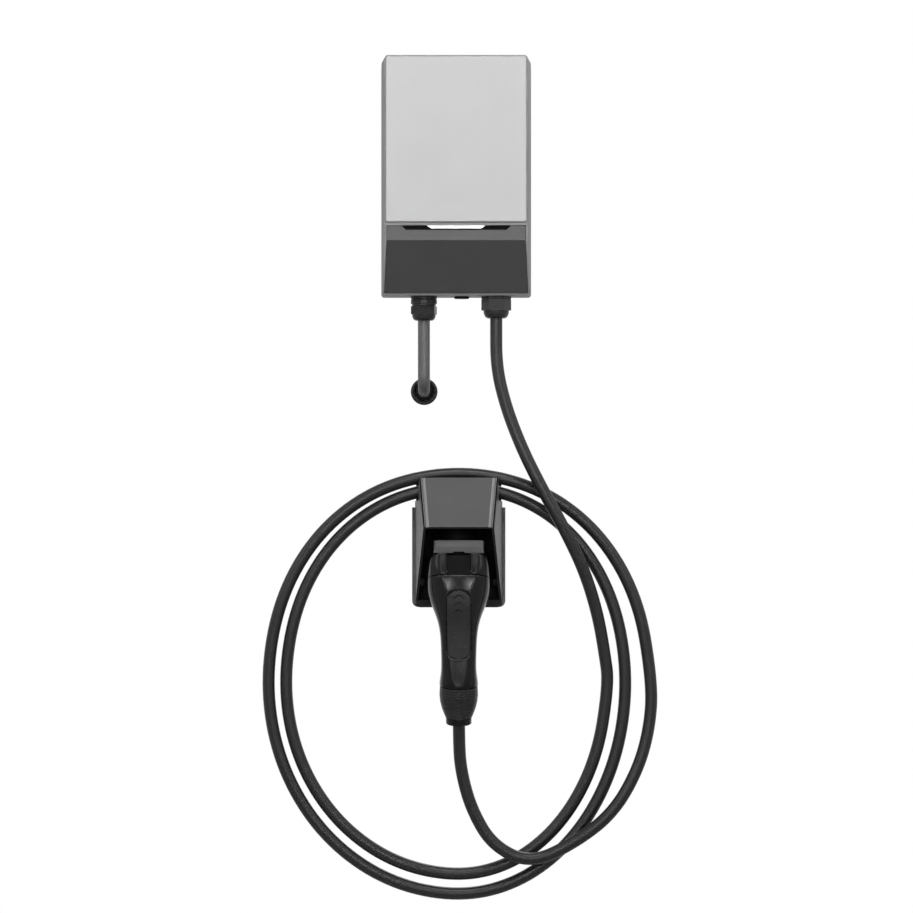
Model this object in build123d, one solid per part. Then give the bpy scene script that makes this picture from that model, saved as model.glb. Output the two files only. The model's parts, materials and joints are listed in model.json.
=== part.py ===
from build123d import *
import math
import os

# Wall-mounted car charger with its holster, charge cable and connector, in millimetres.
# The wall is the plane Y = 0, the front looks along -Y and +Z is up.
# The origin is the centre of the wallbox's wall holes. "Depth" is the distance from the wall, -Y.

# General fits
fit = 0.3
running_fit = 0.05
thread_fit = 0.15
cut_margin = 10.0

# Wallbox housings
box_height = 294.0
box_back_width = 190.0
rear_taper = 1.7
front_taper = 5.1
box_split_width = box_back_width - 2 * rear_taper
box_front_width = box_split_width - 2 * front_taper
box_split_depth = 50.0
box_front_depth = 100.0
box_corner_radius = 4.0
least_corner_radius = 0.8
housing_wall = 3.0
frame_wall = 2.2
gasket_thickness = 1.6
gasket_inset = 0.6
recess_depth = 7.0

# Front panel, cross rail and lower cover
panel_side_margin = 1.4
panel_top_margin = 1.8
panel_height = 204.0
panel_thickness = 3.0
panel_proud = 2.0
panel_corner_radius = 2.5
panel_edge_radius = 1.2
panel_backing = 2.4
rail_height = 4.0
rail_depth = 20.0
cover_gap = 0.5
cover_wall = 3.0
cover_skirt = 14.0
cover_band_height = 18.0
cover_corner_radius = 2.6
slope_foot_depth = 60.0
tongue_width = 14.0
tongue_length = 6.0
tongue_thickness = 2.0

# Status light
notch_side_margin = 20.2
notch_lean = 6.0
notch_top_width = box_front_width - 2 * notch_side_margin
notch_bottom_width = notch_top_width - 2 * notch_lean
notch_height = 5.4
light_top_width = 71.0
light_bottom_width = 61.0
light_height = 3.2
light_length = 11.0
light_housing_height = 13.0
light_housing_depth = 9.0
light_board_thickness = 1.6

# Wall bracket
bracket_width = 120.0
bracket_height = 200.0
bracket_thickness = 2.0
bracket_corner_radius = 6.0
bracket_hole_spacing_x = 80.0
bracket_hole_spacing_z = 160.0
bracket_hole_radius = 3.25
hook_width = 26.0
hook_spacing = 76.0
hook_height = 8.0
hook_z = 40.0
catch_thickness = 2.2
catch_height = 14.0

# Housing screws and their posts
post_radius = 5.5
post_inset = 4.4
lower_post_rise = 26.0
front_post_length = 9.0
screw_radius = 2.0
screw_head_radius = 4.0
screw_head_height = 2.6
housing_screw_bite = 7.0
screw_bite = 10.0

# Electronics
board_thickness = 1.6
board_standoff = 14.0
board_side_margin = 16.0
board_top_margin = 16.0
board_height = 196.0
standoff_radius = 4.5
standoff_inset = 5.5
board_screw_radius = 1.5
board_screw_head_radius = 3.2
board_screw_head_height = 2.2
board_screw_bite = 8.0
relay_width = 30.0
relay_height = 40.0
relay_depth = 26.0
relay_spacing = 46.0
relay_rise = 52.0
power_width = 56.0
power_height = 44.0
power_depth = 22.0
power_drop = 40.0
radio_width = 24.0
radio_height = 32.0
radio_depth = 4.0
sensor_width = 26.0
sensor_height = 16.0
sensor_depth = 24.0
sensor_bore_radius = 8.0
terminal_height = 26.0
terminal_depth = 22.0
terminal_width = 44.0
terminal_gap = 10.0
terminal_pedestal = 6.0
board_cut_clearance = 4.0
core_count = 3
core_side_count = 8
core_length = 26.0
core_radius = 2.0
core_spacing = 4.6
core_fan_spacing = 12.0
core_bend_radius = 6.0
jacket_end_height = 20.0

# Cable entries under the box
entry_depth = 29.0
supply_inset = 54.4
outlet_inset = 44.6
supply_x = supply_inset - box_back_width / 2
outlet_x = box_back_width / 2 - outlet_inset
plug_offset = 2.0
plug_x = (supply_x + outlet_x) / 2 + plug_offset
thread_radius = 12.0
gland_bore_margin = 1.2
seal_radius = 10.0
seal_height = 9.0
spigot_radius = 11.6
spigot_length = 15.0
lock_nut_flats = 29.0
lock_nut_height = 5.0
nut_lip = 2.6
supply_flange_radius = 16.5
supply_flange_height = 12.0
supply_ring_radius = 15.0
supply_ring_height = 2.6
supply_groove_drop = 3.2
supply_groove_height = 1.0
supply_groove_depth = 0.8
supply_nut_flats = 30.0
supply_nut_hex_height = 10.0
supply_dome_height = 8.0
supply_nut_turn = 20.0
outlet_flats = 32.5
outlet_flange_height = 3.2
outlet_nut_hex_height = 14.0
outlet_dome_height = 10.0
dome_step_count = 4
plug_head_radius = 9.3
plug_head_height = 2.8
plug_stem_radius = 7.0
plug_bead = 1.2
plug_bead_height = 3.0

# Supply cable and the grommet where it enters the wall
supply_radius = 7.6
supply_wall_z = -266.0
supply_bend_radius = 21.0
grommet_radius = 17.0
grommet_hole_radius = 12.0
grommet_height = 5.0
grommet_dish = 2.2
grommet_seal_thickness = 2.0

# Charge cable
cable_radius = 7.75
cable_side_count = 12
corner_share = 0.45
lead_straight = 33.0

# Holster
holster_x = 3.2
plate_width = 118.0
plate_neck_width = 108.0
plate_top_z = -368.0
plate_shoulder_z = -412.6
plate_bottom_z = -538.6
plate_depth = 10.0
plate_wall = 3.0
plate_corner_radius = 8.0
plate_hole_spacing_x = 60.0
plate_hole_spacing_z = 76.0
plate_hole_centre_z = -462.0
plate_hole_radius = 2.75
plate_boss_radius = 7.0
hood_back_width = 110.6
hood_draft = 7.9
hood_wall = 3.0
hood_lip_depth = 55.0
hood_lip_thickness = 5.0
hood_top_z = -374.6
beak_depth = 95.0
beak_z = -435.3
hood_edge_radius = 4.0
saddle_z = -395.3
saddle_crown_radius = 165.0
saddle_depth = 46.0
hood_foot_depth = 18.0
hood_foot_height = 9.0
hood_foot_radius = 6.0
hood_post_radius = 4.5
hood_post_length = 18.0
hood_post_wall_overlap = 2.0
hood_post_upper_z = -424.0
hood_post_lower_z = -506.0

# Dock socket, on an axis that leans back to the wall
dock_tilt = 15.0
mouth_depth = 48.0
mouth_z = -477.0
dock_gap = 0.4
dock_width = 63.4
dock_front = 38.0
dock_lip_length = 15.2
dock_corner_radius = 5.0
dock_bevel = 7.0
dock_tube_wall = 3.0
dock_end_wall = 3.0
key_width = 15.0
key_wall = 2.8
catch_start = 10.0
catch_length = 6.0

# Connector: nose, head and handle
nose_radius = 21.9
nose_length = 40.0
nose_wall = 2.6
carrier_setback = 10.0
carrier_root = 2.0
contact_radius = 4.0
signal_radius = 2.2
contact_circle = 11.0
contact_wall = 1.2
contact_length = 22.0
neck_straight = 20.0
head_bend_radius = 400.0
tail_bend_radius = 244.0
end_tilt = 8.0
seam_along = 27.0
seam_gap = 0.3
half_gap = 0.15
split_step_count = 8
ridge_fall = 0.45
shell_screw_radius = 1.6
shell_screw_head_radius = 3.2
shell_screw_head_height = 2.0
shell_screw_reach = 9.0
shell_screw_seat = 10.0
shell_screw_places = ((62.0, 19.0), (132.0, 11.0))

# Sections of the head and handle: distance below the mouth, width, reach to the front,
# reach to the back, half the width of the ridge along the front, and depth of the valley in it
handle_sections = (
    (0.0, 65.7, 36.0, 28.0, 23.6, 0.8),
    (18.0, 72.5, 36.5, 30.0, 23.6, 1.5),
    (37.0, 76.7, 36.0, 31.0, 18.2, 1.5),
    (59.5, 66.8, 31.5, 28.5, 14.5, 0.0),
    (80.0, 51.3, 26.0, 24.5, 14.0, 0.0),
    (100.0, 44.5, 22.5, 21.5, 13.5, 0.0),
    (121.0, 43.2, 21.0, 20.5, 12.5, 0.0),
    (147.0, 45.8, 22.5, 22.2, 9.0, 0.0),
    (159.0, 47.0, 23.5, 23.5, 5.0, 0.0),
)

# Latch lever and thumb button
channel_width = 30.0
channel_floor = 22.2
channel_length = 53.5
bridge_back = 31.6
lever_side_gap = 0.4
lever_width = channel_width - 2 * lever_side_gap
lever_pivot_along = 22.0
lever_pivot_reach = 26.5
lever_knuckle_radius = 3.6
lever_back = 25.4
lever_front = 31.0
lever_tail_front = 29.4
lever_tail_start = 32.0
lever_tail_bend = 45.6
lever_tip_front = 27.4
lever_tail_end = 52.0
arm_width = 13.0
arm_back = 25.9
arm_front = 29.4
arm_end = 15.5
tooth_back = 22.9
tooth_start = 10.7
tooth_end = 14.0
pin_radius = 1.5
pin_bite = 4.0
button_pin_bite = 2.0
button_top_along = 45.0
button_bottom_along = 124.0
button_top_half_width = 14.4
button_bottom_half_width = 15.0
button_foot_rise = 8.7
button_thickness = 3.4
button_sink = 0.5
button_gap = 0.5
button_crown = 8.5
button_pocket_depth = 11.5
button_cut_height = 12.0
button_hinge_rise = 8.0
button_hinge_depth = 5.6
button_knuckle_radius = 3.2
button_knuckle_width = 12.0
spring_width = 8.0
spring_thickness = 0.6
spring_foot_length = 9.0
spring_foot_start = 28.5
spring_gap = 0.1

# Boot and cable nut at the end of the handle
boot_length = 39.0
boot_bulge_radius = 24.1
boot_bulge_along = 11.0
boot_waist_radius = 21.4
boot_waist_along = 27.0
boot_end_radius = 16.8
boot_step_count = 8
cable_nut_radius = 16.0
cable_nut_length = 9.0
cable_nut_groove = 1.2

# Route of the charge cable as (x, depth, z): the lead, the coil and the tail
lead_points = (
    (outlet_x, entry_depth, jacket_end_height - box_height / 2),
    (outlet_x, entry_depth, -box_height / 2 - lead_straight),
    (50.4, 33.0, -235.0),
    (62.0, 42.0, -285.0),
    (82.0, 51.0, -338.0),
    (108.0, 57.0, -390.0),
    (136.0, 55.0, -440.0),
    (161.0, 46.0, -492.0),
    (178.0, 37.0, -547.0),
    (187.0, 31.5, -598.0),
)
tail_points = (
    (243.0, 33.0, -690.0),
    (228.0, 37.0, -742.0),
    (197.0, 42.0, -795.0),
    (150.0, 46.0, -831.0),
    (94.0, 46.5, -858.0),
    (46.0, 47.0, -836.0),
    (19.0, 48.0, -790.0),
    (5.5, 50.0, -740.0),
)
coil_centre = (3.2, -634.3)
# Reach of each quarter turn from the coil's centre, and its depth: right, bottom, left, top and on
coil_reach = (185.0, 239.1, 217.1, 247.1, 209.5, 264.1, 239.1, 264.2, 238.9)
coil_depth = (29.5, 27.0, 26.0, 28.0, 27.0, 27.0, 28.0, 31.0, 31.5)
coil_steps = 4
coil_upper_fullness = 0.95

# Derived sizes of the wallbox
box_bottom = -box_height / 2
box_top = box_height / 2
back_wall_depth = recess_depth + housing_wall
rear_rim_depth = box_split_depth - gasket_thickness / 2
frame_rim_depth = box_split_depth + gasket_thickness / 2
panel_seat_depth = box_front_depth + panel_proud - panel_thickness
panel_width = box_front_width - 2 * panel_side_margin
panel_top = box_top - panel_top_margin
panel_bottom = panel_top - panel_height
panel_centre_z = (panel_top + panel_bottom) / 2
rail_bottom = panel_bottom - rail_height
cover_top = rail_bottom - cover_gap
crease_z = cover_top - cover_band_height
cover_bottom = box_bottom + frame_wall + cover_gap
slope = (box_front_depth - slope_foot_depth) / (crease_z - box_bottom)
board_depth = back_wall_depth + board_standoff
board_front = board_depth + board_thickness
board_top = box_top - board_top_margin
board_bottom = board_top - board_height
board_centre_z = (board_top + board_bottom) / 2
board_width = box_split_width - 2 * (housing_wall + board_side_margin)
terminal_bottom = box_bottom + jacket_end_height + core_length
terminal_top = terminal_bottom + terminal_height
board_foot = max(board_bottom, terminal_top + terminal_gap)
terminal_front = back_wall_depth + terminal_pedestal + terminal_depth
light_front_depth = box_front_depth - cover_wall
light_housing_back = light_front_depth - cover_gap - light_housing_depth
relay_z = board_foot + relay_rise
sensor_z = board_foot + sensor_height / 2
sensor_depth_centre = board_front + sensor_depth / 2
sensor_feed_depth = min(sensor_depth_centre, terminal_front - core_radius)

CENTRE_FROM_BACK = (Align.CENTER, Align.CENTER, Align.MIN)


def front(depth):
    """Sketch plane at a depth, seen from the front: x right, y up, normal away from the wall."""
    return Plane.XZ.offset(depth)


def block(width, height, thickness, x=0.0, z=0.0, depth=0.0):
    """Box whose back face lies at a depth."""
    return front(depth) * (Pos(x, z) * Box(width, height, thickness, align=CENTRE_FROM_BACK))


def rod(radius, length, x, z, depth):
    """Round bar along the depth, from a depth towards the front."""
    return front(depth) * (Pos(x, z) * Cylinder(radius, length, align=CENTRE_FROM_BACK))


def upright(radius, height, x, depth, z):
    """Round bar along Z, from a height upwards."""
    return Pos(x, -depth, z) * Cylinder(radius, height, align=CENTRE_FROM_BACK)


def across(radius, width, x, depth, z):
    """Round bar along X, centred on a point."""
    return Pos(x, -depth, z) * Rot(0, 90, 0) * Cylinder(radius, width)


def side_prism(points, width, x=0.0):
    """Side profile given as (depth, z), extruded across the object."""
    outline = Polyline([(-depth, z) for depth, z in points], close=True)
    return Pos(x, 0, 0) * extrude(Plane.YZ * make_face(outline), amount=width / 2, both=True)


def front_prism(points, depth, thickness):
    """Front outline given as (x, z), extruded from a depth towards the front."""
    return extrude(front(depth) * make_face(Polyline(points, close=True)), amount=thickness)


def box_half_width(depth):
    """Half the outer width of the wallbox at a depth."""
    if depth <= box_split_depth:
        share = depth / box_split_depth
        return (box_back_width + (box_split_width - box_back_width) * share) / 2
    share = (depth - box_split_depth) / (box_front_depth - box_split_depth)
    return (box_split_width + (box_front_width - box_split_width) * share) / 2


def box_body(depth_from, depth_to, inset):
    """Tapered block between two depths that follows the outside of the wallbox at an inset."""
    radius = max(box_corner_radius - inset, least_corner_radius)
    height = box_height - 2 * inset
    sections = [
        front(depth) * RectangleRounded(2 * (box_half_width(depth) - inset), height, radius)
        for depth in (depth_from, depth_to)
    ]
    return loft(sections)


def slope_depth(z):
    """Depth of the sloping lower front at a height below the crease."""
    return box_front_depth - slope * (crease_z - z)


post_half_spacing = box_split_width / 2 - housing_wall - post_inset
post_places = [
    (side * post_half_spacing, z)
    for side in (-1, 1)
    for z in (box_top - housing_wall - post_inset, box_bottom + housing_wall + lower_post_rise)
]
standoff_places = [
    (side * (board_width / 2 - standoff_inset), z)
    for side in (-1, 1)
    for z in (board_foot + standoff_inset, board_top - standoff_inset)
]
bracket_holes = [
    (side_x * bracket_hole_spacing_x / 2, side_z * bracket_hole_spacing_z / 2)
    for side_x in (-1, 1)
    for side_z in (-1, 1)
]
hook_places = [-hook_spacing / 2, hook_spacing / 2]
hook_reach = recess_depth - fit


def wall_bracket():
    """Folded steel plate with two upturned hooks that the housing hangs on."""
    plate = extrude(
        front(0) * RectangleRounded(bracket_width, bracket_height, bracket_corner_radius),
        amount=bracket_thickness,
    )
    for x, z in bracket_holes:
        plate -= rod(bracket_hole_radius, bracket_thickness, x, z, 0)
    for x in hook_places:
        leg_length = hook_reach - bracket_thickness
        plate += block(hook_width, bracket_thickness, leg_length, x, hook_z, bracket_thickness)
        tip_z = hook_z + (hook_height - bracket_thickness) / 2
        tip_depth = hook_reach - bracket_thickness
        plate += block(hook_width, hook_height, bracket_thickness, x, tip_z, tip_depth)
    return plate


def rear_housing():
    """Tray with a recess for the bracket behind it, catches, posts, standoffs and cable entries."""
    tray = box_body(0, rear_rim_depth, 0)
    tray -= box_body(0, recess_depth, housing_wall)
    tray -= box_body(back_wall_depth, rear_rim_depth, housing_wall)
    catch_bottom = hook_z + bracket_thickness / 2 + fit
    bridge_bottom = hook_z - bracket_thickness / 2 + hook_height + fit
    catch_top = catch_bottom + catch_height
    for x in hook_places:
        catch_depth = bracket_thickness + fit
        middle = (catch_bottom + catch_top) / 2
        tray += block(hook_width, catch_height, catch_thickness, x, middle, catch_depth)
        bridge_height = catch_top - bridge_bottom
        bridge_z = (catch_top + bridge_bottom) / 2
        tray += block(hook_width, bridge_height, recess_depth - catch_depth, x, bridge_z, catch_depth)
    for x, z in post_places:
        tray += rod(post_radius, rear_rim_depth - back_wall_depth, x, z, back_wall_depth)
        tray -= rod(screw_radius + fit, rear_rim_depth, x, z, 0)
    for x, z in standoff_places:
        tray += rod(standoff_radius, board_standoff, x, z, back_wall_depth)
        tray -= rod(board_screw_radius + thread_fit, board_standoff, x, z, back_wall_depth)
    for x in (supply_x, outlet_x):
        tray += block(
            terminal_width, terminal_height, terminal_pedestal,
            x, (terminal_top + terminal_bottom) / 2, back_wall_depth,
        )
        tray -= upright(thread_radius + fit, housing_wall, x, entry_depth, box_bottom)
    tray -= upright(plug_stem_radius + fit, housing_wall, plug_x, entry_depth, box_bottom)
    return tray


def housing_gasket():
    """Flat seal between the rims of the two housings, stepped round the screw posts."""
    outer = box_body(rear_rim_depth, frame_rim_depth, gasket_inset)
    seal = outer - box_body(rear_rim_depth, frame_rim_depth, housing_wall)
    for x, z in post_places:
        seal += rod(post_radius, gasket_thickness, x, z, rear_rim_depth)
    for x, z in post_places:
        seal -= rod(screw_radius + fit, gasket_thickness, x, z, rear_rim_depth)
    return seal


def front_frame():
    """Front housing: tapered walls, backing for the panel, cross rail and an open lower window."""
    backing_depth = panel_seat_depth - panel_backing
    frame = box_body(frame_rim_depth, box_front_depth, 0)
    frame -= box_body(frame_rim_depth, backing_depth, frame_wall)
    pocket = extrude(
        front(panel_seat_depth) * Pos(0, panel_centre_z)
        * RectangleRounded(panel_width + 2 * fit, panel_height + 2 * fit, panel_corner_radius),
        amount=panel_thickness,
    )
    frame -= pocket
    window_height = rail_bottom - box_bottom
    window = box_body(frame_rim_depth, box_front_depth, frame_wall)
    window &= block(box_back_width, window_height, box_front_depth, 0, box_bottom + window_height / 2)
    frame -= window
    rail = box_body(box_front_depth - rail_depth, panel_seat_depth, frame_wall)
    rail &= block(box_back_width, rail_height, box_front_depth, 0, rail_bottom + rail_height / 2)
    frame += rail
    frame -= side_prism(
        (
            (box_front_depth, crease_z),
            (slope_foot_depth, box_bottom),
            (slope_foot_depth, box_bottom - cut_margin),
            (box_front_depth + cut_margin, box_bottom - cut_margin),
            (box_front_depth + cut_margin, crease_z),
        ),
        box_back_width,
    )
    for x, z in post_places:
        frame += rod(post_radius, front_post_length, x, z, frame_rim_depth)
        frame -= rod(screw_radius - thread_fit, housing_screw_bite + fit, x, z, frame_rim_depth)
    return frame


def front_panel():
    """Flat metal panel with softened front edges."""
    plate = extrude(
        front(panel_seat_depth) * Pos(0, panel_centre_z)
        * RectangleRounded(panel_width, panel_height, panel_corner_radius),
        amount=panel_thickness,
    )
    return fillet(plate.faces().sort_by(Axis.Y)[0].edges(), radius=panel_edge_radius)


def cover_profile(inset):
    """Side profile of the lower cover, drawn in from its outside by an inset."""
    top = cover_top - inset
    bottom = cover_bottom + inset
    face = box_front_depth - inset
    foot = slope_depth(cover_bottom) - inset - slope * inset
    back_shift = cover_skirt if inset == 0 else cover_skirt + cover_wall
    return (
        (face, top),
        (face, crease_z),
        (foot, bottom),
        (foot - back_shift, bottom),
        (face - back_shift, crease_z),
        (face - back_shift, top),
    )


def lower_cover():
    """Access cover with a flat band, a crease and a slope back to the wall, skirted all round."""
    edge_inset = frame_wall + cover_gap
    cover = box_body(frame_rim_depth, box_front_depth, edge_inset) & side_prism(
        cover_profile(0), box_back_width
    )
    side_reach = box_front_width / 2 - 4 * edge_inset
    corners = [
        edge
        for edge in cover.edges()
        if abs(edge.center().Z - cover_top) < fit and abs(edge.center().X) > side_reach
    ]
    cover = fillet(corners, radius=cover_corner_radius)
    hollow = box_body(frame_rim_depth, box_front_depth, edge_inset + cover_wall) & side_prism(
        cover_profile(cover_wall), box_back_width
    )
    cover -= hollow
    cover -= front_prism(
        (
            (-notch_bottom_width / 2, cover_top - notch_height),
            (notch_bottom_width / 2, cover_top - notch_height),
            (notch_top_width / 2, cover_top),
            (notch_top_width / 2, cover_top + notch_height),
            (-notch_top_width / 2, cover_top + notch_height),
            (-notch_top_width / 2, cover_top),
        ),
        box_front_depth - cover_skirt - cover_wall,
        cover_skirt + 2 * cover_wall,
    )
    tongue_x = (notch_top_width + box_front_width) / 4 - edge_inset / 2
    for side in (-1, 1):
        tongue_depth = box_front_depth - rail_depth - fit - tongue_thickness
        reach = box_front_depth - cover_skirt - tongue_depth + cover_wall
        cover += block(
            tongue_width, cover_wall, reach, side * tongue_x, cover_top - cover_wall / 2, tongue_depth
        )
        cover += block(
            tongue_width, tongue_length, tongue_thickness,
            side * tongue_x, cover_top + tongue_length / 2, tongue_depth,
        )
    return cover


def light_outline(grow):
    """Front outline of the light bar, grown by a clearance, hanging from the cross rail."""
    top = rail_bottom - fit + grow
    bottom = rail_bottom - fit - light_height - grow
    lean = (light_top_width - light_bottom_width) / 2 / light_height
    low = light_bottom_width / 2 + grow
    high = low + lean * (top - bottom)
    return ((-low, bottom), (low, bottom), (high, top), (-high, top))


def light_housing():
    """Black carrier under the cross rail with a slot for the light bar."""
    low = notch_bottom_width / 2 - cover_gap
    high = notch_top_width / 2 - cover_gap
    bottom = rail_bottom - light_housing_height
    outline = (
        (-low, bottom),
        (low, bottom),
        (low, cover_top - notch_height),
        (high, cover_top),
        (high, rail_bottom),
        (-high, rail_bottom),
        (-high, cover_top),
        (-low, cover_top - notch_height),
    )
    carrier = front_prism(outline, light_housing_back, light_housing_depth)
    return carrier - front_prism(light_outline(fit), light_housing_back, light_housing_depth)


def light_bar():
    """Translucent bar that stands a little proud of its carrier."""
    return front_prism(light_outline(0), light_front_depth - light_length, light_length)


def light_board():
    """Strip board behind the light bar."""
    return block(
        light_top_width + 2 * light_height, light_housing_height, light_board_thickness,
        0, rail_bottom - light_housing_height / 2,
        light_front_depth - light_length - fit - light_board_thickness,
    )


def housing_screws():
    """Long screws from the recess through the rear posts into the front posts."""
    screws = []
    for x, z in post_places:
        head = rod(screw_head_radius, screw_head_height, x, z, recess_depth - screw_head_height)
        shank_length = frame_rim_depth + housing_screw_bite - recess_depth
        bite = rod(screw_radius - 2 * thread_fit, shank_length, x, z, recess_depth)
        screws.append(head + bite)
    return screws


def main_board():
    """Circuit board on the standoffs, cut away where it would reach the terminals."""
    board = block(board_width, board_height, board_thickness, 0, board_centre_z, board_depth)
    for x, z in standoff_places:
        board -= rod(board_screw_radius + fit, board_thickness, x, z, board_depth)
    for x in (supply_x, outlet_x):
        board -= block(
            terminal_width + 2 * board_cut_clearance, terminal_height + 2 * board_cut_clearance,
            board_thickness, x, (terminal_top + terminal_bottom) / 2, board_depth,
        )
    return board


def board_screws():
    """Pan-head screws that hold the board."""
    screws = []
    for x, z in standoff_places:
        head = rod(board_screw_head_radius, board_screw_head_height, x, z, board_front)
        length = board_screw_bite + board_thickness
        shank = rod(board_screw_radius, length, x, z, board_front - length)
        screws.append(head + shank)
    return screws


def relays():
    """One relay for each side of the supply."""
    return [
        block(relay_width, relay_height, relay_depth, side * relay_spacing, relay_z, board_front)
        for side in (-1, 1)
    ]


def power_module():
    """Encapsulated power supply near the top of the board."""
    return block(
        power_width, power_height, power_depth, -power_width / 2, board_top - power_drop, board_front
    )


def radio_module():
    """Shielded radio beside the power supply."""
    return block(
        radio_width, radio_height, radio_depth, board_width / 4, board_top - power_drop, board_front
    )


def current_sensor():
    """Residual current sensor that the outlet cores pass through."""
    body = block(sensor_width, sensor_height, sensor_depth, outlet_x, sensor_z, board_front)
    return body - upright(
        sensor_bore_radius, sensor_height, outlet_x, sensor_depth_centre, sensor_z - sensor_height / 2
    )


def terminals(x):
    """Terminal block on its pedestal, with a wire entry for each core."""
    body = block(
        terminal_width, terminal_height, terminal_depth,
        x, (terminal_top + terminal_bottom) / 2, back_wall_depth + terminal_pedestal,
    )
    entry_z = terminal_top - terminal_height / 4
    for place in range(core_count):
        offset = (place - (core_count - 1) / 2) * core_fan_spacing
        body -= rod(core_radius, core_radius, x + offset, entry_z, terminal_front - core_radius)
    return body


def fanned_cores(x):
    """Cores from the end of a jacket, fanned out to their terminals."""
    start_z = box_bottom + jacket_end_height
    middle_depth = back_wall_depth + terminal_pedestal + terminal_depth / 2
    rise = (terminal_bottom - start_z) / 3
    cores = []
    for place in range(core_count):
        order = place - (core_count - 1) / 2
        near = (x + order * core_spacing, -entry_depth)
        far = (x + order * core_fan_spacing, -middle_depth)
        path = FilletPolyline(
            (*near, start_z),
            (*near, start_z + rise),
            (*far, terminal_bottom - rise),
            (*far, terminal_bottom),
            radius=core_bend_radius,
        )
        section = RegularPolygon(core_radius, core_side_count)
        cores.append(sweep(Plane(path @ 0, z_dir=path % 0) * section, path=path))
    return cores


def outlet_feed():
    """Straight cores from the outlet terminals up through the sensor to the relay."""
    length = relay_z - relay_height / 2 - terminal_top
    return [
        upright(core_radius, length, outlet_x + (place - (core_count - 1) / 2) * core_spacing,
                sensor_feed_depth, terminal_top)
        for place in range(core_count)
    ]


def hexagon(flats, turn=0.0):
    """Hexagon with a flat to the front, turned by an angle."""
    return RegularPolygon(flats / 2, 6, major_radius=False, rotation=turn)


def gland_body(x, cord_radius, flange):
    """Flange under the box, thread up through its wall and a spigot for the dome nut below."""
    flange_height = flange.bounding_box().size.Z
    spigot_bottom = box_bottom - flange_height - spigot_length
    stub_length = housing_wall + lock_nut_height + 2 * fit
    body = flange + upright(thread_radius, stub_length, x, entry_depth, box_bottom)
    body += upright(spigot_radius, spigot_length, x, entry_depth, spigot_bottom)
    bore_length = stub_length + flange_height + spigot_length
    body -= upright(cord_radius + gland_bore_margin, bore_length, x, entry_depth, spigot_bottom)
    return body - upright(seal_radius, seal_height, x, entry_depth, spigot_bottom)


def gland_seal(x, cord_radius, flange_height):
    """Rubber sleeve between the spigot and the cable."""
    bottom = box_bottom - flange_height - spigot_length
    sleeve = upright(seal_radius - fit, seal_height - fit, x, entry_depth, bottom)
    return sleeve - upright(cord_radius + fit / 2, seal_height, x, entry_depth, bottom)


def gland_nut(x, cord_radius, flange_height, flats, hex_height, dome_height, turn):
    """Hexagonal nut that ends in a dome round the cable."""
    top = box_bottom - flange_height - fit
    bottom = top - hex_height - dome_height
    nut = Pos(x, -entry_depth, top - hex_height) * extrude(hexagon(flats, turn), amount=hex_height)
    lip_radius = cord_radius + nut_lip
    shoulder = flats / 2
    angles = [math.radians(90 * step / dome_step_count) for step in range(dome_step_count + 1)]
    curve = [
        (lip_radius + (shoulder - lip_radius) * math.sin(angle), -dome_height * math.cos(angle))
        for angle in angles
    ]
    dome_profile = make_face(Polyline((0, -dome_height), *curve, (0, 0), close=True))
    dome = revolve(Plane.XZ * dome_profile, axis=Axis.Z)
    nut += Pos(x, -entry_depth, top - hex_height) * dome
    nut -= upright(cord_radius + fit, hex_height + dome_height, x, entry_depth, bottom)
    return nut - upright(
        spigot_radius + thread_fit, spigot_length, x, entry_depth, top - spigot_length
    )


def gland_lock_nut(x):
    """Flat nut on the thread inside the housing."""
    bottom = box_bottom + housing_wall
    nut = Pos(x, -entry_depth, bottom) * extrude(hexagon(lock_nut_flats), amount=lock_nut_height)
    return nut - upright(thread_radius + thread_fit, lock_nut_height, x, entry_depth, bottom)


def supply_flange():
    """Round flange with a groove round it and a narrower ring below it."""
    rim_height = supply_flange_height - supply_ring_height
    flange = upright(supply_flange_radius, rim_height, supply_x, entry_depth, box_bottom - rim_height)
    flange += upright(
        supply_ring_radius, supply_ring_height, supply_x, entry_depth, box_bottom - supply_flange_height
    )
    groove_z = box_bottom - supply_groove_drop - supply_groove_height
    groove = upright(supply_flange_radius, supply_groove_height, supply_x, entry_depth, groove_z)
    core_radius_left = supply_flange_radius - supply_groove_depth
    groove -= upright(core_radius_left, supply_groove_height, supply_x, entry_depth, groove_z)
    return flange - groove


def outlet_flange():
    """Hexagonal flange."""
    base = Pos(outlet_x, -entry_depth, box_bottom - outlet_flange_height)
    return base * extrude(hexagon(outlet_flats), amount=outlet_flange_height)


def entry_plug():
    """Rubber plug in the spare entry, with a bead that snaps behind the wall."""
    plug = upright(plug_head_radius, plug_head_height, plug_x, entry_depth, box_bottom - plug_head_height)
    plug += upright(plug_stem_radius, housing_wall + plug_bead_height, plug_x, entry_depth, box_bottom)
    bead_z = box_bottom + housing_wall + fit
    return plug + upright(plug_stem_radius + plug_bead, plug_bead_height - fit, plug_x, entry_depth, bead_z)


def supply_cable():
    """Lead from inside the box, down through its gland and back into the wall."""
    path = FilletPolyline(
        (supply_x, -entry_depth, box_bottom + jacket_end_height),
        (supply_x, -entry_depth, supply_wall_z),
        (supply_x, 0, supply_wall_z),
        radius=supply_bend_radius,
    )
    return sweep(Plane(path @ 0, z_dir=path % 0) * Circle(supply_radius), path=path)


def wall_grommet():
    """Ring on the wall with a dished front, round the lead."""
    profile = make_face(
        Polyline(
            (grommet_hole_radius, 0),
            (grommet_radius, 0),
            (grommet_radius, grommet_height - grommet_dish),
            (grommet_radius - grommet_dish, grommet_height),
            (grommet_hole_radius, grommet_height - grommet_dish / 2),
            close=True,
        )
    )
    ring = revolve(Plane.XZ * profile, axis=Axis.Z)
    return front(0) * Pos(supply_x, supply_wall_z) * ring


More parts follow.
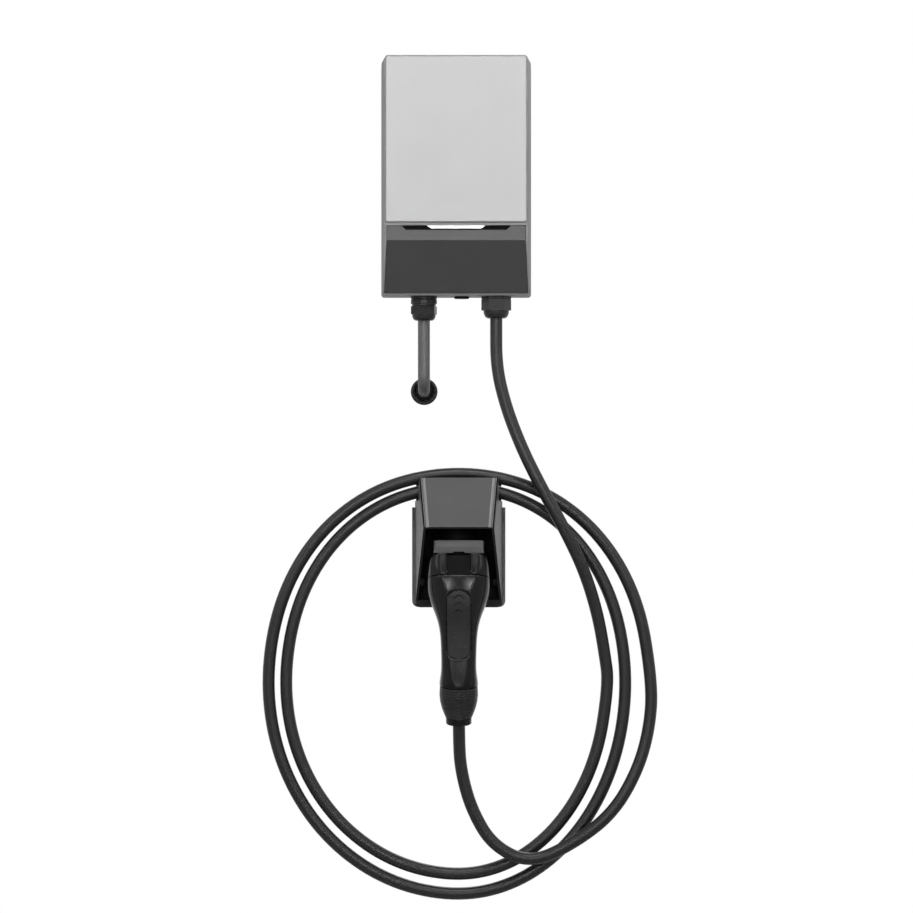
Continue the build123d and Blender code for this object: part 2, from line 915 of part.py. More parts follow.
def grommet_seal():
    """Soft membrane in the grommet that closes on the lead."""
    disc = rod(grommet_hole_radius - fit / 2, grommet_seal_thickness, supply_x, supply_wall_z, 0)
    return disc - rod(supply_radius + fit / 2, grommet_seal_thickness, supply_x, supply_wall_z, 0)


plate_holes = [
    (holster_x + side_x * plate_hole_spacing_x / 2, plate_hole_centre_z + side_z * plate_hole_spacing_z / 2)
    for side_x in (-1, 1)
    for side_z in (-1, 1)
]


def hood_half_width(depth):
    """Half the outer width of the hood at a depth, narrowing towards the front."""
    return hood_back_width / 2 - (depth - plate_depth) * math.tan(math.radians(hood_draft))


hood_post_places = [
    (holster_x + side * (hood_half_width(plate_depth + hood_post_length) - hood_wall
                         - hood_post_radius + hood_post_wall_overlap), z)
    for side in (-1, 1)
    for z in (hood_post_upper_z, hood_post_lower_z)
]
dock_screw_places = [(holster_x + side * dock_width / 4, mouth_z + dock_lip_length) for side in (-1, 1)]
holster_screw_places = hood_post_places + dock_screw_places


def holster_plate():
    """Back plate, hollow behind, with bosses round its wall holes and screw seats."""
    lower_height = plate_shoulder_z - plate_bottom_z
    lower = Rectangle(plate_width, lower_height)
    lower = fillet(lower.vertices().sort_by(Axis.Y)[:2], radius=plate_corner_radius)
    lower = front(0) * Pos(holster_x, plate_bottom_z + lower_height / 2) * lower
    upper_height = plate_top_z - plate_shoulder_z + plate_corner_radius
    upper_centre = plate_top_z - upper_height / 2
    upper = front(0) * Pos(holster_x, upper_centre) * Rectangle(plate_neck_width, upper_height)
    outline = lower + upper
    plate = extrude(outline, amount=plate_depth)
    hollow = extrude(offset(outline, amount=-plate_wall), amount=plate_depth - plate_wall)
    bosses = [rod(plate_boss_radius, plate_depth - plate_wall, x, z, 0) for x, z in plate_holes]
    for boss in bosses:
        hollow -= boss
    plate -= hollow
    for x, z in plate_holes:
        plate -= rod(plate_hole_radius, plate_depth, x, z, 0)
    for x, z in holster_screw_places:
        plate -= rod(screw_radius + fit, plate_depth, x, z, 0)
    return plate


def hood_taper(inset):
    """Block with the hood's drafted sides, drawn in by an inset."""
    far_depth = beak_depth + plate_depth
    near = hood_half_width(plate_depth) - inset
    far = hood_half_width(far_depth) - inset
    outline = Polyline(
        (holster_x - near, -plate_depth),
        (holster_x + near, -plate_depth),
        (holster_x + far, -far_depth),
        (holster_x - far, -far_depth),
        close=True,
    )
    height = plate_top_z - plate_bottom_z
    return Pos(0, 0, plate_bottom_z) * extrude(Plane.XY * make_face(outline), amount=height)


def holster_hood():
    """Drafted hood: saddle behind a top lip, sloping front, open mouth below the beak."""
    foot_top = plate_bottom_z + hood_foot_height
    hood = hood_taper(0) & side_prism(
        (
            (plate_depth, plate_bottom_z),
            (hood_foot_depth, plate_bottom_z),
            (hood_foot_depth, foot_top),
            (beak_depth, beak_z),
            (hood_lip_depth, hood_top_z),
            (plate_depth, hood_top_z),
        ),
        2 * hood_back_width,
        holster_x,
    )
    face_depth = (hood_lip_depth + beak_depth) / 2
    face_z = (hood_top_z + beak_z) / 2
    face_edges = [
        edge for edge in hood.edges()
        if abs(edge.center().Y + face_depth) < fit and abs(edge.center().Z - face_z) < fit
        and abs(edge.center().X - holster_x) > hood_half_width(beak_depth) / 2
    ]
    hood = fillet(face_edges, radius=hood_edge_radius)
    foot_edges = [
        edge for edge in hood.edges()
        if abs(edge.center().Z - plate_bottom_z) < fit
        and abs(edge.center().X - holster_x) > hood_back_width / 4
    ]
    hood = fillet(foot_edges, radius=hood_foot_radius)
    crown_base = saddle_z - saddle_crown_radius
    crown = rod(saddle_crown_radius, beak_depth, holster_x, crown_base, 0)
    channel = side_prism(
        (
            (0, plate_bottom_z),
            (saddle_depth, plate_bottom_z),
            (saddle_depth, saddle_z),
            (hood_lip_depth - hood_lip_thickness, hood_top_z + hood_wall),
            (0, hood_top_z + hood_wall),
        ),
        2 * hood_back_width,
        holster_x,
    )
    hood -= channel - crown
    run = beak_depth - hood_lip_depth
    fall = hood_top_z - beak_z
    face_length = math.hypot(run, fall)
    inner_depth = hood_lip_depth - hood_wall * fall / face_length
    inner_z = hood_top_z - hood_wall * run / face_length
    roof_z = saddle_z - hood_wall
    roof_depth = inner_depth + (inner_z - roof_z) * run / fall
    reach_z = beak_z - hood_foot_height
    reach_depth = inner_depth + (inner_z - reach_z) * run / fall
    cavity = hood_taper(hood_wall) & side_prism(
        ((0, roof_z), (roof_depth, roof_z), (reach_depth, reach_z), (reach_depth, foot_top), (0, foot_top)),
        2 * hood_back_width,
        holster_x,
    )
    cavity &= rod(saddle_crown_radius - hood_wall, 2 * beak_depth, holster_x, crown_base, 0)
    hood -= cavity
    for x, z in hood_post_places:
        hood += rod(hood_post_radius, hood_post_length, x, z, plate_depth) & hood_taper(hood_wall / 2)
        hood -= rod(screw_radius - thread_fit, screw_bite + fit, x, z, plate_depth)
    return hood


def holster_screws():
    """Screws through the plate into the hood's posts and the dock's foot."""
    screws = []
    seat = plate_depth - plate_wall
    for x, z in holster_screw_places:
        head = rod(screw_head_radius, screw_head_height, x, z, seat - screw_head_height)
        shank = rod(screw_radius - 2 * thread_fit, plate_wall + screw_bite, x, z, seat)
        screws.append(head + shank)
    return screws


tilt_sine = math.sin(math.radians(dock_tilt))
tilt_cosine = math.cos(math.radians(dock_tilt))
mouth_point = (holster_x, -mouth_depth, mouth_z)
# Neck frame: x across, y towards the wall, z up along the axis of the nose, from the mouth
neck = Plane(mouth_point, x_dir=(1, 0, 0), z_dir=(0, tilt_sine, tilt_cosine))
# The same frame seen from the side: x towards the front, y up along the axis
neck_side = Plane(mouth_point, x_dir=(0, -tilt_cosine, tilt_sine), z_dir=(-1, 0, 0))


def neck_prism(points, width):
    """Side profile in the neck frame as (reach to the front, height), extruded across."""
    return extrude(neck_side * make_face(Polyline(points, close=True)), amount=width / 2, both=True)


def neck_round(radius, start, end):
    """Round bar on the axis of the nose between two heights above the mouth."""
    return neck * (Pos(0, 0, start) * Cylinder(radius, end - start, align=CENTRE_FROM_BACK))


def neck_across(radius, width, reach, height):
    """Round bar across the neck at a reach to the front and a height above the mouth."""
    return neck * (Pos(0, -reach, height) * Rot(0, 90, 0) * Cylinder(radius, width))


dock_bore_radius = nose_radius + dock_gap
dock_depth = nose_length + dock_end_wall


def dock_socket():
    """Cup for the nose: a rectangular lip, a round tube, and a slot with a catch for the latch."""
    back_reach = mouth_depth
    lip_depth = dock_front + back_reach
    lip = neck * (
        Pos(0, (back_reach - dock_front) / 2, dock_gap)
        * extrude(RectangleRounded(dock_width, lip_depth, dock_corner_radius), amount=dock_lip_length)
    )
    lip -= neck_prism(
        (
            (dock_front - dock_bevel / 2, dock_gap),
            (dock_front, dock_gap + dock_bevel),
            (dock_front + dock_bevel, dock_gap + dock_bevel),
            (dock_front + dock_bevel, dock_gap - dock_bevel),
            (dock_front - dock_bevel / 2, dock_gap - dock_bevel),
        ),
        2 * dock_width,
    )
    cup = lip + neck_round(dock_bore_radius + dock_tube_wall, dock_gap, dock_depth + dock_end_wall)
    cup -= neck_round(dock_bore_radius, dock_gap, dock_depth)
    slot_inner = dock_bore_radius + dock_tube_wall
    slot_outer = dock_front - key_wall
    cup -= neck_prism(
        (
            (slot_inner, 0),
            (slot_outer, 0),
            (slot_outer, dock_depth),
            (slot_inner, dock_depth),
        ),
        key_width,
    )
    cup -= neck_prism(
        (
            (0, catch_start),
            (slot_outer, catch_start),
            (slot_outer, catch_start + catch_length),
            (0, catch_start + catch_length),
        ),
        key_width,
    )
    cup -= block(2 * plate_width, 2 * plate_width, plate_depth, holster_x, mouth_z, 0)
    cup -= block(2 * plate_width, 2 * plate_width, plate_width, holster_x, mouth_z, -plate_width)
    for x, z in dock_screw_places:
        cup -= rod(screw_radius - thread_fit, screw_bite + fit, x, z, plate_depth)
    return cup


def spine(along):
    """Depth, height and lean of the connector's middle line, by distance below the mouth."""
    start = math.radians(dock_tilt)
    straight = min(along, neck_straight)
    depth = mouth_depth + straight * math.sin(start)
    z = mouth_z - straight * math.cos(start)
    bend_end = neck_straight + head_bend_radius * start
    if along <= neck_straight:
        return depth, z, start
    lean = start - (min(along, bend_end) - neck_straight) / head_bend_radius
    depth += head_bend_radius * (math.cos(lean) - math.cos(start))
    z -= head_bend_radius * (math.sin(start) - math.sin(lean))
    if along <= bend_end:
        return depth, z, lean
    final = math.radians(end_tilt)
    tail_end = bend_end + tail_bend_radius * final
    lean = -(min(along, tail_end) - bend_end) / tail_bend_radius
    depth += tail_bend_radius * (math.cos(lean) - 1)
    z += tail_bend_radius * math.sin(lean)
    rest = max(along - tail_end, 0)
    return depth + rest * math.sin(lean), z - rest * math.cos(lean), lean


def spine_plane(along):
    """Section plane of the connector: x across, y towards the wall, z up along the middle line."""
    depth, z, lean = spine(along)
    return Plane((holster_x, -depth, z), x_dir=(1, 0, 0), z_dir=(0, math.sin(lean), math.cos(lean)))


def handle_outline(width, front_reach, back_reach, ridge, valley):
    """Section with a broad ridge to the front, hollowed by a valley, and full round sides."""
    half = width / 2
    flat = Spline((-ridge, -front_reach), (0, valley - front_reach), (ridge, -front_reach))
    right = Spline(
        (ridge, -front_reach), (half, 0), (0, back_reach),
        tangents=((1, ridge_fall), (-1, 0)),
    )
    left = Spline(
        (0, back_reach), (-half, 0), (-ridge, -front_reach),
        tangents=((-1, 0), (1, -ridge_fall)),
    )
    return make_face(flat + right + left)


handle_end = handle_sections[-1][0]


def handle_body():
    """Whole outer form of the head and handle."""
    return loft([spine_plane(along) * handle_outline(*sizes) for along, *sizes in handle_sections])


def front_reach(along):
    """Reach of the front ridge from the middle line, by distance below the mouth."""
    for near, far in zip(handle_sections, handle_sections[1:]):
        if along <= far[0]:
            share = (along - near[0]) / (far[0] - near[0])
            return near[2] + (far[2] - near[2]) * share
    return handle_sections[-1][2]


def ridge_point(along):
    """Depth and height of the front ridge, by distance below the mouth."""
    depth, z, lean = spine(along)
    reach = front_reach(along)
    return depth + reach * math.cos(lean), z + reach * math.sin(lean)


ridge_top = ridge_point(button_top_along)
ridge_bottom = ridge_point(button_bottom_along)
button_length = math.hypot(ridge_top[0] - ridge_bottom[0], ridge_top[1] - ridge_bottom[1])
button_up = (
    0,
    -(ridge_top[0] - ridge_bottom[0]) / button_length,
    (ridge_top[1] - ridge_bottom[1]) / button_length,
)
# Button frame: x across, y up along the button from its lower end, z out of its face
button_plane = Plane(
    (holster_x, -ridge_bottom[0], ridge_bottom[1]),
    x_dir=(1, 0, 0),
    z_dir=(0, -button_up[2], button_up[1]),
)


def button_outline(grow):
    """Tongue with a crowned top and a round lower end, grown by a clearance."""
    top = button_top_half_width + grow
    low = button_bottom_half_width + grow
    crown = ThreePointArc(
        (top, button_length - button_crown + grow),
        (0, button_length + grow),
        (-top, button_length - button_crown + grow),
    )
    round_end = ThreePointArc((-low, button_foot_rise), (0, -grow), (low, button_foot_rise))
    sides = Line(crown @ 1, round_end @ 0) + Line(round_end @ 1, crown @ 0)
    return make_face(crown + sides + round_end)


def button_slab(grow, back, face):
    """Tongue-shaped block between two heights over the button plane."""
    return extrude(button_plane.offset(-back) * button_outline(grow), amount=back + face)


def button_hinge(radius, width):
    """Round bar across the lower end of the button."""
    place = Pos(0, button_hinge_rise, -button_hinge_depth)
    return button_plane * (place * Rot(0, 90, 0) * Cylinder(radius, width))


button_pin_width = 2 * (button_bottom_half_width + button_pin_bite)
latch_pin_width = channel_width + 2 * pin_bite


def seam_plane():
    """Plane of the seam between the collar and the handle."""
    return spine_plane(seam_along)


def latch_channel(outer):
    """Trough along the neck for the latch lever, out to a reach."""
    return neck_prism(
        (
            (channel_floor, -channel_length),
            (outer, -channel_length),
            (outer, dock_front),
            (channel_floor, dock_front),
        ),
        channel_width,
    )


def connector_collar():
    """Upper part of the head with the round nose on it."""
    collar = split(body, bisect_by=seam_plane().offset(seam_gap / 2), keep=Keep.TOP)
    collar -= latch_channel(2 * dock_front)
    collar -= neck_across(pin_radius, latch_pin_width, lever_pivot_reach, -lever_pivot_along)
    collar += neck_round(nose_radius, -nose_wall, nose_length)
    return collar - neck_round(nose_radius - nose_wall, carrier_root, nose_length)


def front_half(shift):
    """Region in front of the connector's middle line, moved forward by a gap."""
    reach = 3 * dock_front
    end_along = handle_end + cut_margin
    points = [spine(end_along * step / split_step_count) for step in range(split_step_count + 1)]
    line = Spline([(-depth - shift, z) for depth, z, lean in points])
    start = line @ 0
    end = line @ 1
    outline = line + Polyline(
        (end.X, end.Y), (end.X - reach, end.Y), (start.X - reach, start.Y), (start.X, start.Y)
    )
    region = extrude(Plane.YZ * make_face(outline), amount=dock_width, both=True)
    return Pos(holster_x, 0, 0) * region


def screw_axis(along, x, radius, start, end):
    """Round bar square to the middle line, between two reaches towards the front."""
    place = Pos(x, -start, 0) * Rot(90, 0, 0)
    return spine_plane(along) * (place * Cylinder(radius, end - start, align=CENTRE_FROM_BACK))


def shell_screw_list():
    """Places of the shell screws: distance below the mouth and offset to each side."""
    return [(along, side * x) for along, x in shell_screw_places for side in (-1, 1)]


def lower_shell():
    """Handle below the seam, with the trough bridged over, the button's pocket and the pin bores."""
    shell = split(body, bisect_by=seam_plane().offset(-seam_gap / 2), keep=Keep.BOTTOM)
    shell -= latch_channel(bridge_back)
    shell -= button_slab(button_gap, button_pocket_depth, button_cut_height)
    return shell - button_hinge(pin_radius, button_pin_width)


def connector_front_shell(handle):
    """Front half of the handle."""
    shell = handle & front_half(half_gap)
    for along, x in shell_screw_list():
        shell -= screw_axis(along, x, shell_screw_radius - thread_fit, 0, shell_screw_reach + fit)
    return shell


def connector_rear_shell(handle):
    """Rear half of the handle, with counterbores for its screws."""
    shell = handle - front_half(-half_gap)
    for along, x in shell_screw_list():
        shell -= screw_axis(along, x, shell_screw_radius + fit, -shell_screw_seat, shell_screw_seat)
        shell -= screw_axis(
            along, x, shell_screw_head_radius + fit, -dock_front, -shell_screw_seat
        )
    return shell


def shell_screws():
    """Screws from the back that hold the halves together."""
    screws = []
    for along, x in shell_screw_list():
        head = screw_axis(
            along, x, shell_screw_head_radius, -shell_screw_seat - shell_screw_head_height, -shell_screw_seat
        )
        shank = screw_axis(
            along, x, shell_screw_radius - 2 * thread_fit, -shell_screw_seat, shell_screw_reach
        )
        screws.append(head + shank)
    return screws


contact_places = [
    (contact_circle * math.cos(math.radians(angle)), contact_circle * math.sin(math.radians(angle)), radius)
    for angle, radius in (
        (215, contact_radius),
        (325, contact_radius),
        (90, contact_radius),
        (160, signal_radius),
        (20, signal_radius),
    )
]


def pin_carrier():
    """Insulating block in the nose with a bore for each contact."""
    top = nose_length - carrier_setback
    carrier = neck_round(nose_radius - nose_wall - fit, carrier_root, top)
    for x, y, radius in contact_places:
        start = top - contact_length
        carrier -= neck * (
            Pos(x, y, start) * Cylinder(radius + fit, contact_length, align=CENTRE_FROM_BACK)
        )
    return carrier


def contacts():
    """Round socket contacts, one in each bore of the carrier."""
    top = nose_length - carrier_setback
    sockets = []
    for x, y, radius in contact_places:
        place = Pos(x, y, top - contact_length)
        bore = Pos(x, y, top - contact_length / 2)
        outer = place * Cylinder(radius, contact_length - contact_wall, align=CENTRE_FROM_BACK)
        inner = bore * Cylinder(radius - contact_wall, contact_length, align=CENTRE_FROM_BACK)
        sockets.append(neck * (outer - inner))
    return sockets


def latch_lever():
    """Lever in the trough: a broad plate, a knuckle, a tail under the button and a hooked arm."""
    plate = neck_prism(
        (
            (lever_back, -lever_tail_end),
            (lever_tip_front, -lever_tail_end),
            (lever_tail_front, -lever_tail_bend),
            (lever_tail_front, -lever_tail_start),
            (lever_front, -lever_tail_start + lever_front - lever_tail_front),
            (lever_front, -lever_front + arm_front),
            (arm_front, 0),
            (lever_back, 0),
        ),
        lever_width,
    )
    arm = neck_prism(
        (
            (arm_back, -arm_front + arm_back),
            (arm_front, -arm_front + arm_back),
            (arm_front, arm_end - arm_front + arm_back),
            (arm_back, arm_end),
            (tooth_back, tooth_end),
            (tooth_back, tooth_start),
            (arm_back, tooth_start),
        ),
        arm_width,
    )
    knuckle = neck_across(lever_knuckle_radius, lever_width, lever_pivot_reach, -lever_pivot_along)
    bore = neck_across(pin_radius + running_fit, lever_width, lever_pivot_reach, -lever_pivot_along)
    return plate + arm + knuckle - bore


def latch_pin():
    """Pin of the latch lever."""
    return neck_across(pin_radius, latch_pin_width, lever_pivot_reach, -lever_pivot_along)


def release_button():
    """Thumb button cut from the ridge, a little sunk, with a hinge knuckle behind its lower end."""
    shift = Pos(0, button_sink * button_up[2], -button_sink * button_up[1])
    slab = shift * (body & button_slab(0, button_thickness, button_cut_height))
    knuckle = button_hinge(button_knuckle_radius, button_knuckle_width)
    web_start = button_sink + button_thickness / 2
    web = button_plane * (
        Pos(0, button_hinge_rise, -(button_hinge_depth + web_start) / 2)
        * Box(button_knuckle_width, 2 * button_knuckle_radius, button_hinge_depth - web_start)
    )
    return slab + (knuckle + web) - button_hinge(pin_radius + running_fit, button_knuckle_width)


def button_pin():
    """Pin of the thumb button."""
    return button_hinge(pin_radius, button_pin_width)


def latch_spring():
    """Bent leaf under the lever's tail: a foot on the floor of the trough and a raised tip."""
    foot = channel_floor + spring_gap
    tip = lever_back - spring_gap
    bend = -spring_foot_start - spring_foot_length
    end = -lever_tail_end + spring_thickness
    return neck_prism(
        (
            (foot, -spring_foot_start),
            (foot, bend),
            (tip - spring_thickness, end),
            (tip, end),
            (foot + spring_thickness, bend),
            (foot + spring_thickness, -spring_foot_start),
        ),
        spring_width,
    )


def boot_frame():
    """Frame at the end of the handle: z down along the cable."""
    depth, z, lean = spine(handle_end)
    return Plane((holster_x, -depth, z), x_dir=(1, 0, 0), z_dir=(0, -math.sin(lean), -math.cos(lean)))


def turned(points):
    """Solid of revolution on the boot's axis, from (radius, distance) points, bored for the cable."""
    bore = cable_radius + fit
    profile = make_face(Polyline(*points, (bore, points[-1][1]), (bore, points[0][1]), close=True))
    return boot_frame() * revolve(Plane.XZ * profile, axis=Axis.Z)


def grip_boot():
    """Soft end of the handle, bulging and then drawn in to the cable."""
    line = Spline(
        (handle_sections[-1][2], seam_gap),
        (boot_bulge_radius, boot_bulge_along),
        (boot_waist_radius, boot_waist_along),
        (boot_end_radius, boot_length),
    )
    points = [line @ (step / boot_step_count) for step in range(boot_step_count + 1)]
    return turned([(point.X, point.Y) for point in points])


def cable_nut():
    """Ring that clamps the cable below the boot, with a groove at its top."""
    top = boot_length + fit
    return turned(
        (
            (cable_nut_radius - cable_nut_groove, top),
            (cable_nut_radius - cable_nut_groove, top + cable_nut_groove),
            (cable_nut_radius, top + cable_nut_groove),
            (cable_nut_radius, top + cable_nut_length - cable_nut_groove),
            (cable_nut_radius - cable_nut_groove, top + cable_nut_length),
        )
    )


def coil_points():
    """Corner points of the coil's turns, worked out by quarter turns of an ellipse."""
    quarter = math.pi / 2
    step = quarter / coil_steps
    swell = 1 / math.cos(step / 2)
    points = []
    for turn in range(len(coil_reach) - 1):
        level = turn % 2 == 0
        across_reach = coil_reach[turn] if level else coil_reach[turn + 1]
        upright_reach = coil_reach[turn + 1] if level else coil_reach[turn]
        fullness = coil_upper_fullness if turn % 4 >= 2 else 1.0
        for count in range(coil_steps):
            share = count / coil_steps
            angle = -quarter * (turn + share)
            cosine = math.cos(angle)
            sine = math.sin(angle)
            x = coil_centre[0] + swell * across_reach * math.copysign(abs(cosine) ** fullness, cosine)
            z = coil_centre[1] + swell * upright_reach * math.copysign(abs(sine) ** fullness, sine)
            depth = coil_depth[turn] + (coil_depth[turn + 1] - coil_depth[turn]) * share
            points.append((x, depth, z))
    last = (coil_centre[0] + swell * coil_reach[-1], coil_depth[-1], coil_centre[1])
    return points + [last]


def cable_end_points():
    """Last points of the tail, on the axis of the boot."""
    frame = boot_frame()
    outside = frame.from_local_coords((0, 0, boot_length + cable_nut_length + 2 * cable_radius))
    inside = frame.from_local_coords((0, 0, seam_gap))
    return [(point.X, -point.Y, point.Z) for point in (outside, inside)]


def corner_radius(before, corner, after):
    """Largest tidy arc at a corner of the route."""
    run_in = Vector(*corner) - Vector(*before)
    run_out = Vector(*after) - Vector(*corner)
    half_turn = math.radians(run_in.get_angle(run_out)) / 2
    return corner_share * min(run_in.length, run_out.length) / math.tan(half_turn)


def middle(first, second):
    """Point halfway along a run."""
    return tuple((a + b) / 2 for a, b in zip(first, second))


def cable_stretch(route, radii, first, last):
    """Tube along the corners first to last of the route, cut halfway along the runs at its ends."""
    points = list(route[first:last + 1])
    if first > 0:
        points = [middle(route[first - 1], route[first])] + points
    if last < len(route) - 1:
        points = points + [middle(route[last], route[last + 1])]
    corner_radii = [radii[index] for index in range(max(first, 1), min(last, len(route) - 2) + 1)]
    path = FilletPolyline([(x, -depth, z) for x, depth, z in points], radius=corner_radii)
    jacket = RegularPolygon(cable_radius, cable_side_count)
    tube = sweep(Plane(path @ 0, z_dir=path % 0) * jacket, path=path)
    section_area = jacket.area
    print(
        "cable stretch", first, last, "length", round(path.length, 1),
        "volume over section times length", round(tube.volume / section_area / path.length, 4),
    )
    return tube


def save(name, shape):
    """Write a piece, or a group of like pieces, to its own file."""
    pieces = shape if isinstance(shape, list) else [shape]
    solids = [solid for piece in pieces for solid in piece.solids()]
    result = solids[0] if len(solids) == 1 else Compound(children=solids)
    export_step(result, os.path.join("parts", name + ".step"))


os.makedirs("parts", exist_ok=True)

save("wall_bracket", wall_bracket())
save("rear_housing", rear_housing())
save("housing_gasket", housing_gasket())
save("front_frame", front_frame())
save("front_panel", front_panel())
save("lower_cover", lower_cover())
save("light_housing", light_housing())
save("light_bar", light_bar())
save("light_board", light_board())
save("housing_screws", housing_screws())
save("main_board", main_board())
save("board_screws", board_screws())
save("relays", relays())
save("power_module", power_module())
save("radio_module", radio_module())
save("current_sensor", current_sensor())
save("supply_terminals", terminals(supply_x))
save("outlet_terminals", terminals(outlet_x))
save("supply_cores", fanned_cores(supply_x))
save("outlet_cores", fanned_cores(outlet_x))
save("outlet_feed", outlet_feed())

save("supply_gland_body", gland_body(supply_x, supply_radius, supply_flange()))
save("supply_gland_seal", gland_seal(supply_x, supply_radius, supply_flange_height))
save("supply_gland_nut", gland_nut(
    supply_x, supply_radius, supply_flange_height,
    supply_nut_flats, supply_nut_hex_height, supply_dome_height, supply_nut_turn,
))
save("supply_lock_nut", gland_lock_nut(supply_x))
save("outlet_gland_body", gland_body(outlet_x, cable_radius, outlet_flange()))
save("outlet_gland_seal", gland_seal(outlet_x, cable_radius, outlet_flange_height))
save("outlet_gland_nut", gland_nut(
    outlet_x, cable_radius, outlet_flange_height,
    outlet_flats, outlet_nut_hex_height, outlet_dome_height, 0.0,
))
save("outlet_lock_nut", gland_lock_nut(outlet_x))
save("entry_plug", entry_plug())
save("supply_cable", supply_cable())
save("wall_grommet", wall_grommet())
save("grommet_seal", grommet_seal())

save("holster_plate", holster_plate())
save("holster_hood", holster_hood())
save("dock_socket", dock_socket())
save("holster_screws", holster_screws())

body = handle_body()
handle = lower_shell()
save("connector_collar", connector_collar())
save("connector_front_shell", connector_front_shell(handle))
save("connector_rear_shell", connector_rear_shell(handle))
save("shell_screws", shell_screws())
save("pin_carrier", pin_carrier())
save("contacts", contacts())
save("latch_lever", latch_lever())
save("latch_pin", latch_pin())
save("release_button", release_button())
save("button_pin", button_pin())
save("latch_spring", latch_spring())
save("grip_boot", grip_boot())
save("cable_nut", cable_nut())

route = list(lead_points) + coil_points() + list(tail_points) + cable_end_points()
radii = [0.0] + [corner_radius(*route[index - 1:index + 2]) for index in range(1, len(route) - 1)]
print("cable radii", [round(radius) for radius in radii[1:]])
lead_end = len(lead_points) - 1
coil_end = lead_end + len(coil_points())
save("cable_lead", cable_stretch(route, radii, 0, lead_end))
save("cable_coil", cable_stretch(route, radii, lead_end + 1, coil_end))
save("cable_tail", cable_stretch(route, radii, coil_end + 1, len(route) - 1))
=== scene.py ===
"""EV wallbox with holster, coiled charge cable and docked connector: looks, light and camera."""
import json
import math

import bpy
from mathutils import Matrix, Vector
from mathutils.bvhtree import BVHTree


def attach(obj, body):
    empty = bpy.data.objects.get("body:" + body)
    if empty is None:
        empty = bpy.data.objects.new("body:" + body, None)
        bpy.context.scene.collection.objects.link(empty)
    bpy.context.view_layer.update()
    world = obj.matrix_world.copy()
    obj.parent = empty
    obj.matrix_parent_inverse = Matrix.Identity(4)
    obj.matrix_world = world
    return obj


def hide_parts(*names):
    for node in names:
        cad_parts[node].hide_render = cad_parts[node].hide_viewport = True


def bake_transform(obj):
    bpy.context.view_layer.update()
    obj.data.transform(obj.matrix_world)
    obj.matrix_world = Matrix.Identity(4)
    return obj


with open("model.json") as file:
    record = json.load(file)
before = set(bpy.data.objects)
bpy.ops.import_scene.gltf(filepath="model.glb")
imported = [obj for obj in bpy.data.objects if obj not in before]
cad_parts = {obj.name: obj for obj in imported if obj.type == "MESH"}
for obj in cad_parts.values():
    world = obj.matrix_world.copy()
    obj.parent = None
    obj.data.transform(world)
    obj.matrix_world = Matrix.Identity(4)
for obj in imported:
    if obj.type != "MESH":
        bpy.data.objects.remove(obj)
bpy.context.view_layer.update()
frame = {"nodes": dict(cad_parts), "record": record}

# Sizes are in millimetres, turned to metres where a piece is made, and angles in degrees.
# A point is given as x, depth from the wall and height.
MM = 0.001

# The photograph was taken square on, from well back: place along the frame's own axes
camera_place = (0.4, -3600.0, -348.2)
camera_lens = 111.9
camera_sensor = 36.0
camera_reach_metres = 50.0

# Charge cable: its radius and its route from the gland down to the coil
# and from the coil round to the connector
cable_radius = 7.75
cable_start = (50.4, 29.0, -127.0)
lead_points = (
    cable_start,
    (50.4, 29.0, -180.0),
    (50.4, 33.0, -235.0),
    (62.0, 42.0, -285.0),
    (82.0, 51.0, -338.0),
    (108.0, 57.0, -390.0),
    (136.0, 55.0, -440.0),
    (161.0, 46.0, -492.0),
    (178.0, 37.0, -547.0),
    (187.0, 31.5, -598.0),
)
tail_points = (
    (243.0, 33.0, -690.0),
    (228.0, 37.0, -742.0),
    (197.0, 42.0, -795.0),
    (150.0, 46.0, -831.0),
    (94.0, 46.5, -858.0),
    (46.0, 47.0, -836.0),
    (19.0, 48.0, -790.0),
    (5.5, 50.0, -740.0),
)
cable_order = 3
cable_steps = 10
cable_round_steps = 8

# Coil: its centre as x and height, then its reach and its depth at each quarter turn
coil_centre = (3.2, -634.3)
coil_reach = (185.0, 239.1, 217.1, 247.1, 209.5, 264.1, 239.1, 264.2, 238.9)
coil_depth = (29.5, 27.0, 26.0, 28.0, 27.0, 27.0, 28.0, 31.0, 31.5)
coil_steps = 4
coil_upper_fullness = 0.95

# End of the handle, where the boot and the cable start: depth, height and lean
connector_x = 3.2
handle_end_depth = 64.402
handle_end_z = -634.014
handle_end_lean = math.radians(8.0)
cable_end_reach = 63.5
cable_end_inset = 0.3

# Boot: distance below the handle and radius, then its rings and the flat floor of their grooves
boot_profile = (
    (0.3, 23.5),
    (5.0, 23.9),
    (11.0, 24.1),
    (19.0, 23.3),
    (27.0, 21.4),
    (33.0, 19.2),
    (39.0, 16.8),
)
boot_bore = 8.05
boot_sides = 72
boot_ring_pitch = 3.2
boot_ring_width = 0.9
boot_ring_depth = 0.45
groove_floor_shares = (0.25, 0.75)

# Hood of the holster: corners of its sloping face, draft of its sides, and the bevels along them
holster_x = 3.2
hood_lip = (55.0, -374.6)
hood_beak = (95.0, -435.3)
hood_lip_half_width = 49.06
hood_beak_half_width = 43.5
hood_face = Vector((0.0, -0.835, 0.55))
hood_bevel_width = 6.9
hood_bevel_drop = 1.1
hood_foot_half_width = 53.4
hood_side_reach = 41.0
plate_seat = 9.0
dock_lip_top = -450.5

# How near a corner has to be to the hood's face, and how far off the line of a bevel
face_slack = 0.1
line_slack = 1.0

# How squarely a surface has to look along the hood's face, sideways or to the front to be counted
in_hood_face = 0.9995
hood_face_turn = 0.995
hood_bevel_turn = 0.86
hood_side_turn = 0.975
hood_rim_turn = 0.75
plate_front_turn = 0.99
plate_flat_turn = 0.97
plate_shade_turn = 0.5
dock_lip_turn = 0.6

